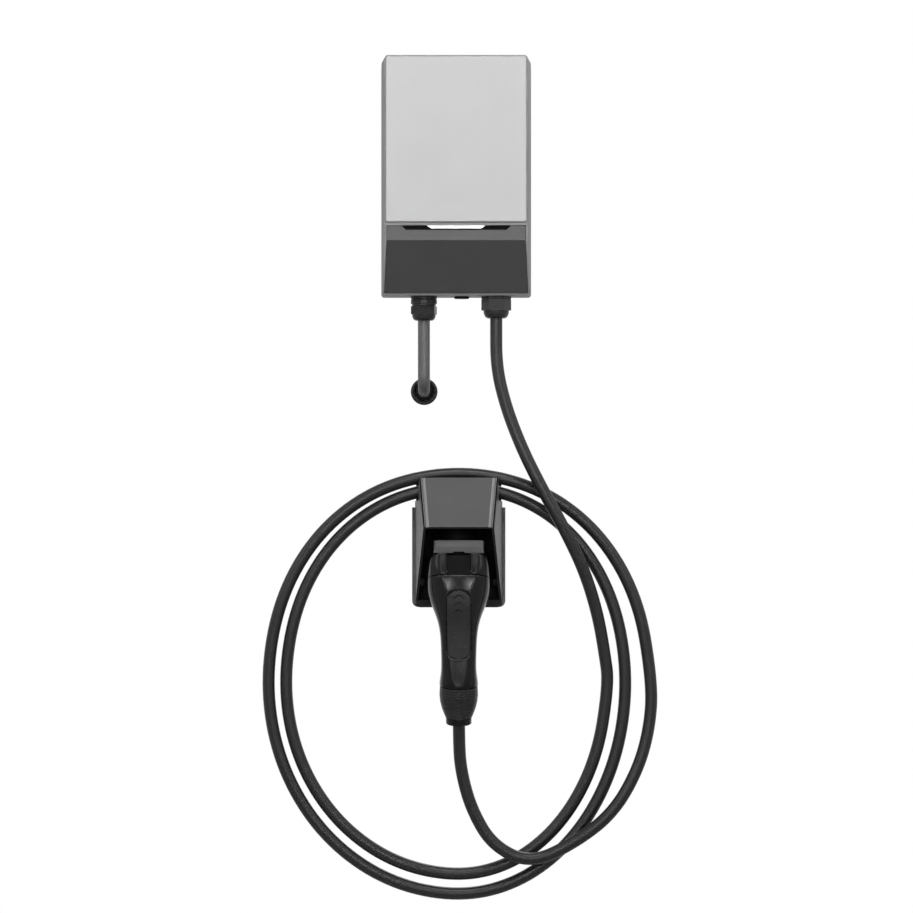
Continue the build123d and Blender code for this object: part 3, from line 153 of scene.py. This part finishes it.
# Lead's hole in the wall, and the soft lip that closes on the lead there: distance out and radius
grommet_place = (-40.6, 0.0, -266.0)
grommet_hole_radius = 12.0
supply_radius = 7.6
seal_sides = 64
seal_profile = (
    (0.2, supply_radius - 0.1),
    (0.2, grommet_hole_radius + 0.2),
    (1.0, grommet_hole_radius + 0.2),
    (1.4, grommet_hole_radius - 0.9),
    (1.1, grommet_hole_radius - 1.8),
    (1.5, supply_radius + 1.2),
    (2.0, supply_radius + 0.5),
    (2.0, supply_radius - 0.1),
)

# Even skin of the connector's front, how far its creases are eased, and where the front begins
grip_skin = 0.8
grip_ease = 0.5
grip_ease_steps = 25
grip_front_start = 0.3
grip_front_span = 0.4

# Grip marks on the thumb button: height of the tip, half width and drop
button_marks = ((-519.6, 7.6, 5.2), (-528.3, 6.5, 4.8), (-537.0, 4.8, 3.8))
mark_radius = 0.55
mark_steps = 8
mark_round_steps = 3
mark_tip_round = 0.02
mark_start_depth = 200.0

# Copies of the CAD pieces: gap that is welded, bend that counts as flat, and steps round an edge
weld_gap = 0.004
flat_angle = 0.6
edge_segments = 2

# Bend up to which the sides of a lathed piece look smooth
lathe_smooth_angle = 35

# Rounded edge of each piece that needs nothing else
soft_edges = {
    "rear_housing": 0.6,
    "front_frame": 0.45,
    "front_panel": 0.3,
    "light_housing": 0.3,
    "supply_gland_body": 0.3,
    "supply_gland_nut": 0.35,
    "outlet_gland_body": 0.3,
    "outlet_gland_nut": 0.35,
    "entry_plug": 0.5,
    "wall_grommet": 0.4,
    "wall_bracket": 0.3,
    "dock_socket": 0.5,
    "cable_nut": 0.4,
    "latch_lever": 0.4,
}

# CAD pieces that go with the connector on the cable's end
inside_connector = ("button_pin", "latch_pin", "pin_carrier", "contacts", "shell_screws")

# Finishes: range of a mottle, sizes of the drift in colour and sheen, and how far they go
mottle_low = 0.3
mottle_high = 0.7
plain_detail = 2.0
fine_detail = 3.0
plastic_drift_size = 45
plastic_sheen_size = 6
plastic_sheen_change = 0.04
metal_drift_size = 60
metal_drift = 0.015
metal_grain = 0.5
metal_sheen_change = 0.05
diffuser_rough = 0.35
diffuser_drift_size = 12
diffuser_drift = 0.01

# Soft boxes, in metres: name, place, what it faces, width and height, watts and fan of its light
part_middle = (0.0, 0.0, -0.35)
box_middle = (0.0, 0.0, 0.0)
connector_middle = (0.0, 0.0, -0.52)
button_middle = (0.0, 0.0, -0.58)
open_fan = 180.0
narrow_fan = 50.0
lamps = (
    ("left_light", (-2.4, -1.2, 0.9), part_middle, 0.9, 1.7, 17.0, open_fan),
    ("right_light", (2.4, -1.2, 0.9), part_middle, 0.9, 1.7, 15.0, open_fan),
    ("front_left_light", (-0.62, -2.6, 0.12), connector_middle, 0.32, 0.8, 1.35, narrow_fan),
    ("front_right_light", (0.62, -2.6, 0.12), connector_middle, 0.32, 0.8, 1.3, narrow_fan),
    ("top_light", (0.0, -0.9, 0.88), box_middle, 0.9, 0.35, 16.0, open_fan),
    ("collar_light", (0.0, -2.6, 1.02), connector_middle, 0.7, 0.3, 0.2, narrow_fan),
    ("low_light", (-0.06, -2.6, -0.86), button_middle, 0.22, 0.5, 1.8, open_fan),
    ("rear_light", (0.4, 2.6, 1.2), part_middle, 1.8, 1.4, 24.0, open_fan),
)

# Light of the room from below and from above, and the floor, in metres
room_low = 0.05
room_high = 0.2
room_blend = 0.6
floor_size = 3.0
floor_place = (0.0, -0.2, -1.2)
floor_colour = (0.82, 0.82, 0.82, 1.0)
floor_rough = 0.8
floor_drift_size = 0.4
floor_drift = 0.01
white = (1.0, 1.0, 1.0, 1.0)


def metres(point):
    """Place of a point given as x, depth from the wall and height in millimetres."""
    x, depth, z = point
    return Vector((x * MM, -depth * MM, z * MM))


def choose(piece):
    """Make one piece the selected and active one."""
    bpy.ops.object.select_all(action="DESELECT")
    piece.select_set(True)
    bpy.context.view_layer.objects.active = piece


def set_camera():
    """Stand the camera where the photograph was taken."""
    data = bpy.data.cameras.new("front_view")
    data.lens = camera_lens
    data.sensor_width = camera_sensor
    data.clip_end = camera_reach_metres
    camera = bpy.data.objects.new("front_view", data)
    camera.location = Vector(camera_place) * MM
    camera.rotation_euler = (math.radians(90), 0, 0)
    bpy.context.scene.collection.objects.link(camera)
    bpy.context.scene.camera = camera


def grey(tone, warmth=0.0):
    """Linear colour of a grey tone from 0 to 255, a little warmer or cooler."""
    level = tone / 255
    linear = level / 12.92 if level <= 0.04045 else ((level + 0.055) / 1.055) ** 2.4
    return (linear * (1 + warmth), linear, linear * (1 - warmth), 1.0)


def start_finish(name):
    """New material, its nodes, its shader and the place on the piece."""
    material = bpy.data.materials.new(name)
    material.use_nodes = True
    tree = material.node_tree
    place = tree.nodes.new("ShaderNodeTexCoord").outputs["Object"]
    return material, tree, tree.nodes["Principled BSDF"], place


def mottle(tree, place, grain, detail=plain_detail, stretch=(1.0, 1.0, 1.0)):
    """Noise with lumps about one grain across, in metres."""
    turn = tree.nodes.new("ShaderNodeMapping")
    turn.inputs["Scale"].default_value = stretch
    tree.links.new(place, turn.inputs["Vector"])
    noise = tree.nodes.new("ShaderNodeTexNoise")
    noise.inputs["Scale"].default_value = 1 / grain
    noise.inputs["Detail"].default_value = detail
    tree.links.new(turn.outputs["Vector"], noise.inputs["Vector"])
    return noise.outputs["Fac"]


def spread(tree, factor, low, high, start=mottle_low, end=mottle_high):
    """Turn a mottle, or another value, into a range of values."""
    span = tree.nodes.new("ShaderNodeMapRange")
    span.inputs["From Min"].default_value = start
    span.inputs["From Max"].default_value = end
    span.inputs["To Min"].default_value = low
    span.inputs["To Max"].default_value = high
    tree.links.new(factor, span.inputs["Value"])
    return span.outputs["Result"]


def tint(tree, shader, factor, colour, change):
    """Colour that drifts a little lighter and darker with a mottle."""
    ramp = tree.nodes.new("ShaderNodeValToRGB")
    dark, light = ramp.color_ramp.elements
    dark.position = mottle_low
    light.position = mottle_high
    dark.color = (*[part * (1 - change) for part in colour[:3]], 1.0)
    light.color = (*[part * (1 + change) for part in colour[:3]], 1.0)
    tree.links.new(factor, ramp.inputs["Fac"])
    tree.links.new(ramp.outputs["Color"], shader.inputs["Base Color"])


def raise_grain(tree, shader, height, depth):
    """Fine relief, as deep as given in metres."""
    bump = tree.nodes.new("ShaderNodeBump")
    bump.inputs["Distance"].default_value = depth
    bump.inputs["Strength"].default_value = 1.0
    tree.links.new(height, bump.inputs["Height"])
    tree.links.new(bump.outputs["Normal"], shader.inputs["Normal"])


def moulded(name, colour, rough, gloss=0.35, grain=0.6, depth=0.03, drift=0.05):
    """Moulded plastic or rubber: fine spark-eroded grain, a slight drift in colour and sheen."""
    material, tree, shader, place = start_finish(name)
    shader.inputs["Specular IOR Level"].default_value = gloss
    tint(tree, shader, mottle(tree, place, plastic_drift_size * MM), colour, drift)
    sheen = mottle(tree, place, plastic_sheen_size * MM, fine_detail)
    tree.links.new(
        spread(tree, sheen, rough - plastic_sheen_change, rough + plastic_sheen_change),
        shader.inputs["Roughness"],
    )
    raise_grain(tree, shader, mottle(tree, place, grain * MM), depth * MM)
    return material


def satin_metal(name, colour, rough, metal, stretch, depth=0.006):
    """Metal with a fine directional grain."""
    material, tree, shader, place = start_finish(name)
    shader.inputs["Metallic"].default_value = metal
    tint(tree, shader, mottle(tree, place, metal_drift_size * MM), colour, metal_drift)
    grain = mottle(tree, place, metal_grain * MM, fine_detail, stretch)
    tree.links.new(
        spread(tree, grain, rough - metal_sheen_change, rough + metal_sheen_change),
        shader.inputs["Roughness"],
    )
    raise_grain(tree, shader, grain, depth * MM)
    return material


def glowing(name, colour, strength):
    """Milky diffuser lit evenly from behind."""
    material, tree, shader, place = start_finish(name)
    shader.inputs["Roughness"].default_value = diffuser_rough
    tint(tree, shader, mottle(tree, place, diffuser_drift_size * MM), colour, diffuser_drift)
    shader.inputs["Emission Color"].default_value = colour
    shader.inputs["Emission Strength"].default_value = strength
    return material


# Plastics and rubbers: colour, roughness and gloss, then size and depth of the grain and drift
plastics = {
    "housing_plastic": (grey(124), 0.55, 0.18),
    "cover_plastic": (grey(54), 0.38, 0.45),
    "black_plastic": (grey(9), 0.55, 0.05),
    "gland_plastic": (grey(31), 0.32, 0.22, 0.5, 0.008),
    "black_rubber": (grey(12), 0.6, 0.1, 0.5, 0.01),
    "supply_jacket": (grey(70), 0.42, 0.45, 1.2, 0.006),
    "cable_jacket": (grey(26), 0.34, 0.25, 1.0, 0.004),
    # One holster plastic in several greys: face, sides and wall are lit and shaded copies set to
    # how light falls on them (painted light and shade), the light edge is a painted highlight and
    # the dark rim is painted shade
    "holster_plastic": (grey(61), 0.46, 0.18),
    "holster_painted_highlight": (grey(98), 0.38, 0.4),
    "holster_side": (grey(68), 0.46, 0.3),
    "holster_wall": (grey(80), 0.46, 0.18),
    "holster_painted_shade_rim": (grey(26), 0.5, 0.1),
    "connector_plastic": (grey(7), 0.2, 0.17, 0.5, 0.003),
    "button_plastic": (grey(16), 0.3, 0.2, 0.5, 0.006),
    "boot_rubber": (grey(24), 0.36, 0.25, 0.5, 0.006),
    "board": ((0.02, 0.16, 0.06, 1.0), 0.35, 0.5, 1.5, 0.02, 0.12),
    "component_black": (grey(42), 0.5, 0.4),
    "terminal_plastic": (grey(150), 0.48),
    "core_insulation": ((0.2, 0.07, 0.03, 1.0), 0.4, 0.5),
    "insulator": (grey(46), 0.5),
}
# Metals: colour, roughness, share of metal, stretch of the grain and its depth
metals = {
    "panel_metal": (grey(156), 0.42, 0.12, (0.05, 1.0, 1.0), 0.002),
    "dark_steel": (grey(34), 0.45, 0.6, (1.0, 1.0, 0.2)),
    "zinc_steel": (grey(198, 0.01), 0.32, 1.0, (1.0, 1.0, 0.2)),
    "shield_can": (grey(214), 0.28, 1.0, (1.0, 0.3, 1.0)),
    "contact_metal": (grey(220, 0.03), 0.25, 1.0, (1.0, 1.0, 0.4)),
}
finishes = {name: moulded(name, *values) for name, values in plastics.items()}
finishes.update({name: satin_metal(name, *values) for name, values in metals.items()})
finishes["light_diffuser"] = glowing("light_diffuser", white, 0.9)
slot_of = {row["node"]: row["material_slot"] for row in frame["record"]["subparts"]}
bodies = frame["record"]["behaviour"]["bodies"]
body_of = {node: body for body, nodes in bodies.items() for node in nodes}


def dress(piece, *names):
    """Give a piece its finishes. The first covers it, until faces are given another."""
    piece.data.materials.clear()
    for name in names:
        piece.data.materials.append(finishes[name])


def dress_nodes():
    """Give each CAD piece the finish that the record names."""
    for node, piece in frame["nodes"].items():
        dress(piece, slot_of[node])


def copy_node(node, plain):
    """Welded copy of a node. Plain walls lose their inner lines."""
    piece = bpy.data.objects.new(node + "_finished", frame["nodes"][node].data.copy())
    bpy.context.scene.collection.objects.link(piece)
    choose(piece)
    bpy.ops.object.mode_set(mode="EDIT")
    bpy.ops.mesh.select_all(action="SELECT")
    bpy.ops.mesh.remove_doubles(threshold=weld_gap * MM)
    if plain:
        bpy.ops.mesh.dissolve_limited(angle_limit=math.radians(flat_angle))
    bpy.ops.object.mode_set(mode="OBJECT")
    return piece


def soften(node, edge, plain=True, smooth=30.0, shape=None, sharp=32.0):
    """Copy of a node with its sharp edges rounded, which stands for it."""
    piece = copy_node(node, plain)
    if shape:
        shape(piece)
    if edge:
        bevel = piece.modifiers.new("edges", "BEVEL")
        bevel.width = edge * MM
        bevel.segments = edge_segments
        bevel.limit_method = "ANGLE"
        bevel.angle_limit = math.radians(sharp)
        bevel.use_clamp_overlap = True
        bpy.ops.object.modifier_apply(modifier="edges")
    bpy.ops.object.shade_smooth_by_angle(angle=math.radians(smooth))
    flat = piece.modifiers.new("flat_faces", "WEIGHTED_NORMAL")
    flat.keep_sharp = True
    bpy.ops.object.modifier_apply(modifier="flat_faces")
    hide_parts(node)
    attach(piece, body_of[node])
    return piece


def ease_front(piece):
    """Even skin over a moulded grip, with the creases of its front eased."""
    skin = piece.modifiers.new("skin", "REMESH")
    skin.mode = "VOXEL"
    skin.voxel_size = grip_skin * MM
    bpy.ops.object.modifier_apply(modifier="skin")
    front = piece.vertex_groups.new(name="front")
    for corner in piece.data.vertices:
        share = (-corner.normal.y - grip_front_start) / grip_front_span
        if share > 0:
            front.add([corner.index], min(share, 1.0), "REPLACE")
    ease = piece.modifiers.new("ease", "SMOOTH")
    ease.factor = grip_ease
    ease.iterations = grip_ease_steps
    ease.vertex_group = "front"
    bpy.ops.object.modifier_apply(modifier="ease")


def bending_spring():
    """Welded copy of the leaf spring in its slot's finish, which stands for it where it is."""
    spring = copy_node("latch_spring", True)
    dress(spring, slot_of["latch_spring"])
    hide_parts("latch_spring")
    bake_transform(spring)
    return spring


def pick_faces(piece, wanted):
    """Start to edit a piece with only the wanted faces selected."""
    bpy.ops.object.mode_set(mode="EDIT")
    bpy.ops.mesh.select_mode(type="FACE")
    bpy.ops.mesh.select_all(action="DESELECT")
    bpy.ops.object.mode_set(mode="OBJECT")
    for face in piece.data.polygons:
        face.select = wanted(face)
    bpy.ops.object.mode_set(mode="EDIT")


def bevel_hood(hood):
    """Mark off a strip along each side of the hood's face and tip it outwards."""
    for side in (-1, 1):
        top = metres((holster_x + side * (hood_lip_half_width - hood_bevel_width), *hood_lip))
        low = metres((holster_x + side * (hood_beak_half_width - hood_bevel_width), *hood_beak))
        across = (low - top).cross(hood_face).normalized() * -side
        pick_faces(hood, lambda face: face.normal.dot(hood_face) > in_hood_face)
        bpy.ops.mesh.bisect(plane_co=top, plane_no=across)
        bpy.ops.mesh.select_mode(type="VERT")
        bpy.ops.mesh.select_all(action="DESELECT")
        bpy.ops.object.mode_set(mode="OBJECT")
        for corner in hood.data.vertices:
            on_face = abs((corner.co - top).dot(hood_face)) < face_slack * MM
            off_line = abs((corner.co - top).dot(across)) > line_slack * MM
            past_top = side * (corner.co.x - top.x) > 0
            past_low = side * (corner.co.x - low.x) > line_slack * MM
            corner.select = on_face and off_line and (past_top or past_low)
        bpy.ops.object.mode_set(mode="EDIT")
        bpy.ops.transform.translate(value=hood_face * -hood_bevel_drop * MM)
        bpy.ops.object.mode_set(mode="OBJECT")


def on_plate_front(face):
    """Whether a face is part of the plate's front."""
    return face.normal.y < -plate_front_turn and face.center.y < -plate_seat * MM


def part_plate(plate):
    """Divide the plate's front where the hood's sides stand on it."""
    for side in (-1, 1):
        pick_faces(plate, on_plate_front)
        cut = (holster_x + side * hood_foot_half_width) * MM
        bpy.ops.mesh.bisect(plane_co=(cut, 0, 0), plane_no=(1, 0, 0))
        bpy.ops.object.mode_set(mode="OBJECT")


def colour_plate(plate):
    """Grey plate with lighter edges as a painted highlight, and black behind the hood as painted
    shade.
    """
    dress(plate, "holster_wall", "black_plastic", "holster_painted_highlight")
    # Black is painted shade inside the hood, the light grey a painted highlight on the edges
    painted_shade, edge = 1, 2
    for face in plate.data.polygons:
        behind_hood = abs(face.center.x - holster_x * MM) < hood_foot_half_width * MM
        faces_out = face.normal.y < -plate_shade_turn and face.center.y < -plate_seat * MM
        if behind_hood and faces_out:
            face.material_index = painted_shade
        elif face.normal.y > -plate_flat_turn:
            face.material_index = edge


def colour_hood(hood):
    """Grey face and sides in greys set to how light falls on them (painted light and shade),
    lighter edges round the face as a painted highlight, and a dark rim and black inside as painted
    shade.
    """
    dress(hood, "black_plastic", "holster_plastic", "holster_painted_highlight", "holster_side", "holster_painted_shade_rim")
    # Black inside and the dark rim are painted shade, the lighter edges a painted highlight
    front, edge, flank, painted_shade_rim = 1, 2, 3, 4
    for face in hood.data.polygons:
        outward = face.normal.x * (face.center.x - holster_x * MM)
        turned = face.normal.dot(hood_face)
        if turned > hood_face_turn:
            face.material_index = front
        elif turned > hood_bevel_turn:
            face.material_index = edge
        elif abs(face.normal.x) > hood_side_turn and outward > hood_side_reach * MM:
            face.material_index = flank
        elif face.normal.y < -hood_rim_turn:
            face.material_index = painted_shade_rim


def colour_dock(dock):
    """Grey front lip on a cup dressed black as painted shade."""
    dress(dock, "black_plastic", "holster_wall")
    # All but the lip stays black: painted shade inside the socket
    lip = 1
    for face in dock.data.polygons:
        if face.normal.y < -dock_lip_turn and face.center.z < dock_lip_top * MM:
            face.material_index = lip


def round_line(name, kind, points, radius, round_steps):
    """Round bead along a line of points given in metres."""
    data = bpy.data.curves.new(name, "CURVE")
    data.dimensions = "3D"
    line = data.splines.new(kind)
    line.points.add(len(points) - 1)
    for knot, point in zip(line.points, points):
        knot.co = (*point, 1.0)
    data.bevel_depth = radius * MM
    data.bevel_resolution = round_steps
    data.use_fill_caps = True
    piece = bpy.data.objects.new(name, data)
    bpy.context.scene.collection.objects.link(piece)
    return piece


def swelled(part, fullness):
    """Sine or cosine of a turn that is fuller than an ellipse when the fullness is below 1."""
    return math.copysign(abs(part) ** fullness, part)


def coil_points():
    """Corner points of the coil's turns, by quarter turns of an ellipse."""
    quarter = math.pi / 2
    swell = 1 / math.cos(quarter / coil_steps / 2)
    points = []
    for turn in range(len(coil_reach) - 1):
        level = turn % 2 == 0
        across_reach = coil_reach[turn] if level else coil_reach[turn + 1]
        upright_reach = coil_reach[turn + 1] if level else coil_reach[turn]
        fullness = coil_upper_fullness if turn % 4 >= 2 else 1.0
        for count in range(coil_steps):
            share = count / coil_steps
            angle = -quarter * (turn + share)
            x = coil_centre[0] + swell * across_reach * swelled(math.cos(angle), fullness)
            z = coil_centre[1] + swell * upright_reach * swelled(math.sin(angle), fullness)
            depth = coil_depth[turn] + (coil_depth[turn + 1] - coil_depth[turn]) * share
            points.append((x, depth, z))
    return points + [(coil_centre[0] + swell * coil_reach[-1], coil_depth[-1], coil_centre[1])]


def boot_axis_point(reach):
    """Point on the axis of the boot, by its distance below the handle."""
    depth = handle_end_depth - reach * math.sin(handle_end_lean)
    return (connector_x, depth, handle_end_z - reach * math.cos(handle_end_lean))


def charge_cable():
    """Lead, coil and tail in one curve."""
    ends = (boot_axis_point(cable_end_reach), boot_axis_point(cable_end_inset))
    route = [metres(point) for point in (*lead_points, *coil_points(), *tail_points, *ends)]
    cable = round_line("charge_cable", "NURBS", route, cable_radius, cable_round_steps)
    line = cable.data.splines[0]
    line.order_u = cable_order
    line.use_endpoint_u = True
    line.resolution_u = cable_steps
    dress(cable, "cable_jacket")
    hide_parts("cable_lead", "cable_coil", "cable_tail")
    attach(cable, body_of["cable_coil"])
    return cable


def boot_radius(reach):
    """Outer radius of the boot at a distance below the handle."""
    for (near, near_radius), (far, far_radius) in zip(boot_profile, boot_profile[1:]):
        if reach <= far:
            return near_radius + (far_radius - near_radius) * (reach - near) / (far - near)
    return boot_profile[-1][1]


def lathe(name, outline, sides):
    """Round piece drawn out of a ring along its axis, by (distance, radius), closed at its bore."""
    bpy.ops.object.select_all(action="DESELECT")
    start, radius = outline[0]
    bpy.ops.mesh.primitive_circle_add(
        vertices=sides, radius=radius * MM, location=(0, 0, start * MM)
    )
    piece = bpy.context.object
    piece.name = name
    bpy.ops.object.transform_apply(location=True, rotation=False, scale=False)
    bpy.ops.object.mode_set(mode="EDIT")
    bpy.ops.mesh.select_mode(type="EDGE")
    bpy.ops.mesh.select_all(action="SELECT")
    for (near, near_radius), (far, far_radius) in zip(outline, outline[1:]):
        step = (0, 0, (far - near) * MM)
        bpy.ops.mesh.extrude_region_move(TRANSFORM_OT_translate={"value": step})
        ratio = far_radius / near_radius
        bpy.ops.transform.resize(value=(ratio, ratio, 1), center_override=(0, 0, far * MM))
    bpy.ops.mesh.select_non_manifold(extend=False)
    bpy.ops.mesh.bridge_edge_loops()
    bpy.ops.mesh.select_all(action="SELECT")
    bpy.ops.mesh.normals_make_consistent(inside=False)
    bpy.ops.object.mode_set(mode="OBJECT")
    return piece


def settle(piece, turn, place):
    """Turn a lathed piece, move it to its place and keep it there, with smooth sides."""
    piece.rotation_euler = turn
    piece.location = place
    choose(piece)
    bpy.ops.object.transform_apply(location=True, rotation=True, scale=True)
    bpy.ops.object.shade_smooth_by_angle(angle=math.radians(lathe_smooth_angle))


def ringed_boot():
    """Boot with fine grooves round it."""
    start = boot_profile[0][0]
    end = boot_profile[-1][0]
    outline = [(start, boot_bore)]
    reach = start
    while reach + boot_ring_pitch < end:
        land_end = reach + boot_ring_pitch - boot_ring_width
        floor = boot_radius(land_end) - boot_ring_depth
        for point in (reach, (reach + land_end) / 2, land_end):
            outline.append((point, boot_radius(point)))
        for share in groove_floor_shares:
            outline.append((land_end + boot_ring_width * share, floor))
        reach += boot_ring_pitch
    outline += [(reach, boot_radius(reach)), (end, boot_radius(end)), (end, boot_bore)]
    boot = lathe("grip_boot_finished", outline, boot_sides)
    top = metres(boot_axis_point(0.0))
    down = (metres(boot_axis_point(1.0)) - top).normalized()
    settle(boot, Vector((0, 0, 1)).rotation_difference(down).to_euler(), top)
    dress(boot, "boot_rubber")
    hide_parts("grip_boot")
    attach(boot, body_of["grip_boot"])
    return boot


def lead_seal():
    """Dished rubber lip in the wall grommet that closes on the lead."""
    seal = lathe("grommet_seal_finished", seal_profile, seal_sides)
    settle(seal, (math.radians(90), 0, 0), metres(grommet_place))
    dress(seal, "black_rubber")
    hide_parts("grommet_seal")
    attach(seal, body_of["grommet_seal"])


def grip_marks(button):
    """Raised arrow-shaped beads that follow the face of the thumb button."""
    bpy.context.view_layer.update()
    face = BVHTree.FromObject(button, bpy.context.evaluated_depsgraph_get())
    marks = []
    for number, (tip_z, half_width, drop) in enumerate(button_marks, 1):
        points = []
        for step in range(-mark_steps, mark_steps + 1):
            share = step / mark_steps
            x = connector_x + share * half_width
            bend = math.sqrt(share * share + mark_tip_round) - math.sqrt(mark_tip_round)
            start = metres((x, mark_start_depth, tip_z - drop * bend))
            points.append(face.ray_cast(start, Vector((0, 1, 0)))[0])
        name = "grip_mark_" + str(number)
        choose(round_line(name, "POLY", points, mark_radius, mark_round_steps))
        bpy.ops.object.convert(target="MESH")
        mark = bpy.context.object
        bpy.ops.object.shade_smooth()
        # Marks darker than the button: painted shade of engraved grooves
        dress(mark, "black_plastic")
        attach(mark, body_of["release_button"])
        marks.append(mark)
    return marks


def softbox(name, place, target, width, height, power, fan):
    """Rectangular lamp turned to what it lights."""
    data = bpy.data.lights.new(name, "AREA")
    data.shape = "RECTANGLE"
    data.size = width
    data.size_y = height
    data.energy = power
    data.spread = math.radians(fan)
    lamp = bpy.data.objects.new(name, data)
    lamp.location = place
    lamp.rotation_euler = (Vector(target) - Vector(place)).to_track_quat("-Z", "Y").to_euler()
    bpy.context.scene.collection.objects.link(lamp)


def larger(tree, first, second):
    """The larger of two values."""
    choice = tree.nodes.new("ShaderNodeMath")
    choice.operation = "MAXIMUM"
    tree.links.new(first, choice.inputs[0])
    tree.links.new(second, choice.inputs[1])
    return choice.outputs["Value"]


def surround():
    """White to the eye and in what is mirrored, and a dim room, darker below, for the rest."""
    world = bpy.data.worlds.new("studio")
    bpy.context.scene.world = world
    world.use_nodes = True
    tree = world.node_tree
    tree.nodes.clear()
    rays = tree.nodes.new("ShaderNodeLightPath").outputs
    mirrored = larger(tree, rays["Is Glossy Ray"], rays["Is Transmission Ray"])
    seen = larger(tree, rays["Is Camera Ray"], mirrored)
    place = tree.nodes.new("ShaderNodeTexCoord")
    height = tree.nodes.new("ShaderNodeSeparateXYZ")
    tree.links.new(place.outputs["Generated"], height.inputs["Vector"])
    level = spread(tree, height.outputs["Z"], room_low, room_high, -room_blend, room_blend)
    room = tree.nodes.new("ShaderNodeBackground")
    room.inputs["Color"].default_value = white
    tree.links.new(level, room.inputs["Strength"])
    bright = tree.nodes.new("ShaderNodeBackground")
    bright.inputs["Color"].default_value = white
    bright.inputs["Strength"].default_value = 1.0
    mix = tree.nodes.new("ShaderNodeMixShader")
    tree.links.new(seen, mix.inputs["Fac"])
    tree.links.new(room.outputs["Background"], mix.inputs[1])
    tree.links.new(bright.outputs["Background"], mix.inputs[2])
    output = tree.nodes.new("ShaderNodeOutputWorld")
    tree.links.new(mix.outputs["Shader"], output.inputs["Surface"])


def studio():
    """Soft boxes round the part, a white surround and a pale floor."""
    bpy.context.scene.view_settings.view_transform = "Standard"
    surround()
    for lamp in lamps:
        softbox(*lamp)
    bpy.ops.object.select_all(action="DESELECT")
    bpy.ops.mesh.primitive_plane_add(size=floor_size, location=floor_place)
    floor = bpy.context.object
    floor.name = "floor"
    pale, tree, shader, place = start_finish("pale_floor")
    shader.inputs["Roughness"].default_value = floor_rough
    tint(tree, shader, mottle(tree, place, floor_drift_size), floor_colour, floor_drift)
    floor.data.materials.append(pale)


set_camera()
studio()
dress_nodes()
cable = charge_cable()
finished = {node: soften(node, edge) for node, edge in soft_edges.items()}
finished["lower_cover"] = soften("lower_cover", 0.3, smooth=24.0)
for node in ("connector_collar", "connector_front_shell"):
    finished[node] = soften(node, 0.0, plain=False, smooth=42.0, shape=ease_front)
for node in ("connector_rear_shell", "release_button"):
    finished[node] = soften(node, 0.5, plain=False, sharp=20.0)
finished["supply_cable"] = soften("supply_cable", 0.4, plain=False)
finished["holster_hood"] = soften("holster_hood", 0.6, smooth=18.5, shape=bevel_hood)
colour_hood(finished["holster_hood"])
finished["holster_plate"] = soften("holster_plate", 0.7, shape=part_plate)
colour_plate(finished["holster_plate"])
colour_dock(finished["dock_socket"])
# Latch lever dressed black: painted shade in the channel it runs in
dress(finished["latch_lever"], "black_plastic")
dress(finished["cable_nut"], "connector_plastic")
dress(frame["nodes"]["button_pin"], "dark_steel")
spring = bending_spring()
lead_seal()
boot = ringed_boot()
marks = grip_marks(finished["release_button"])
connector = [
    finished["connector_collar"],
    finished["connector_front_shell"],
    finished["connector_rear_shell"],
    finished["release_button"],
    finished["latch_lever"],
    finished["cable_nut"],
    boot,
    spring,
    *marks,
]
connector += [frame["nodes"][node] for node in inside_connector]
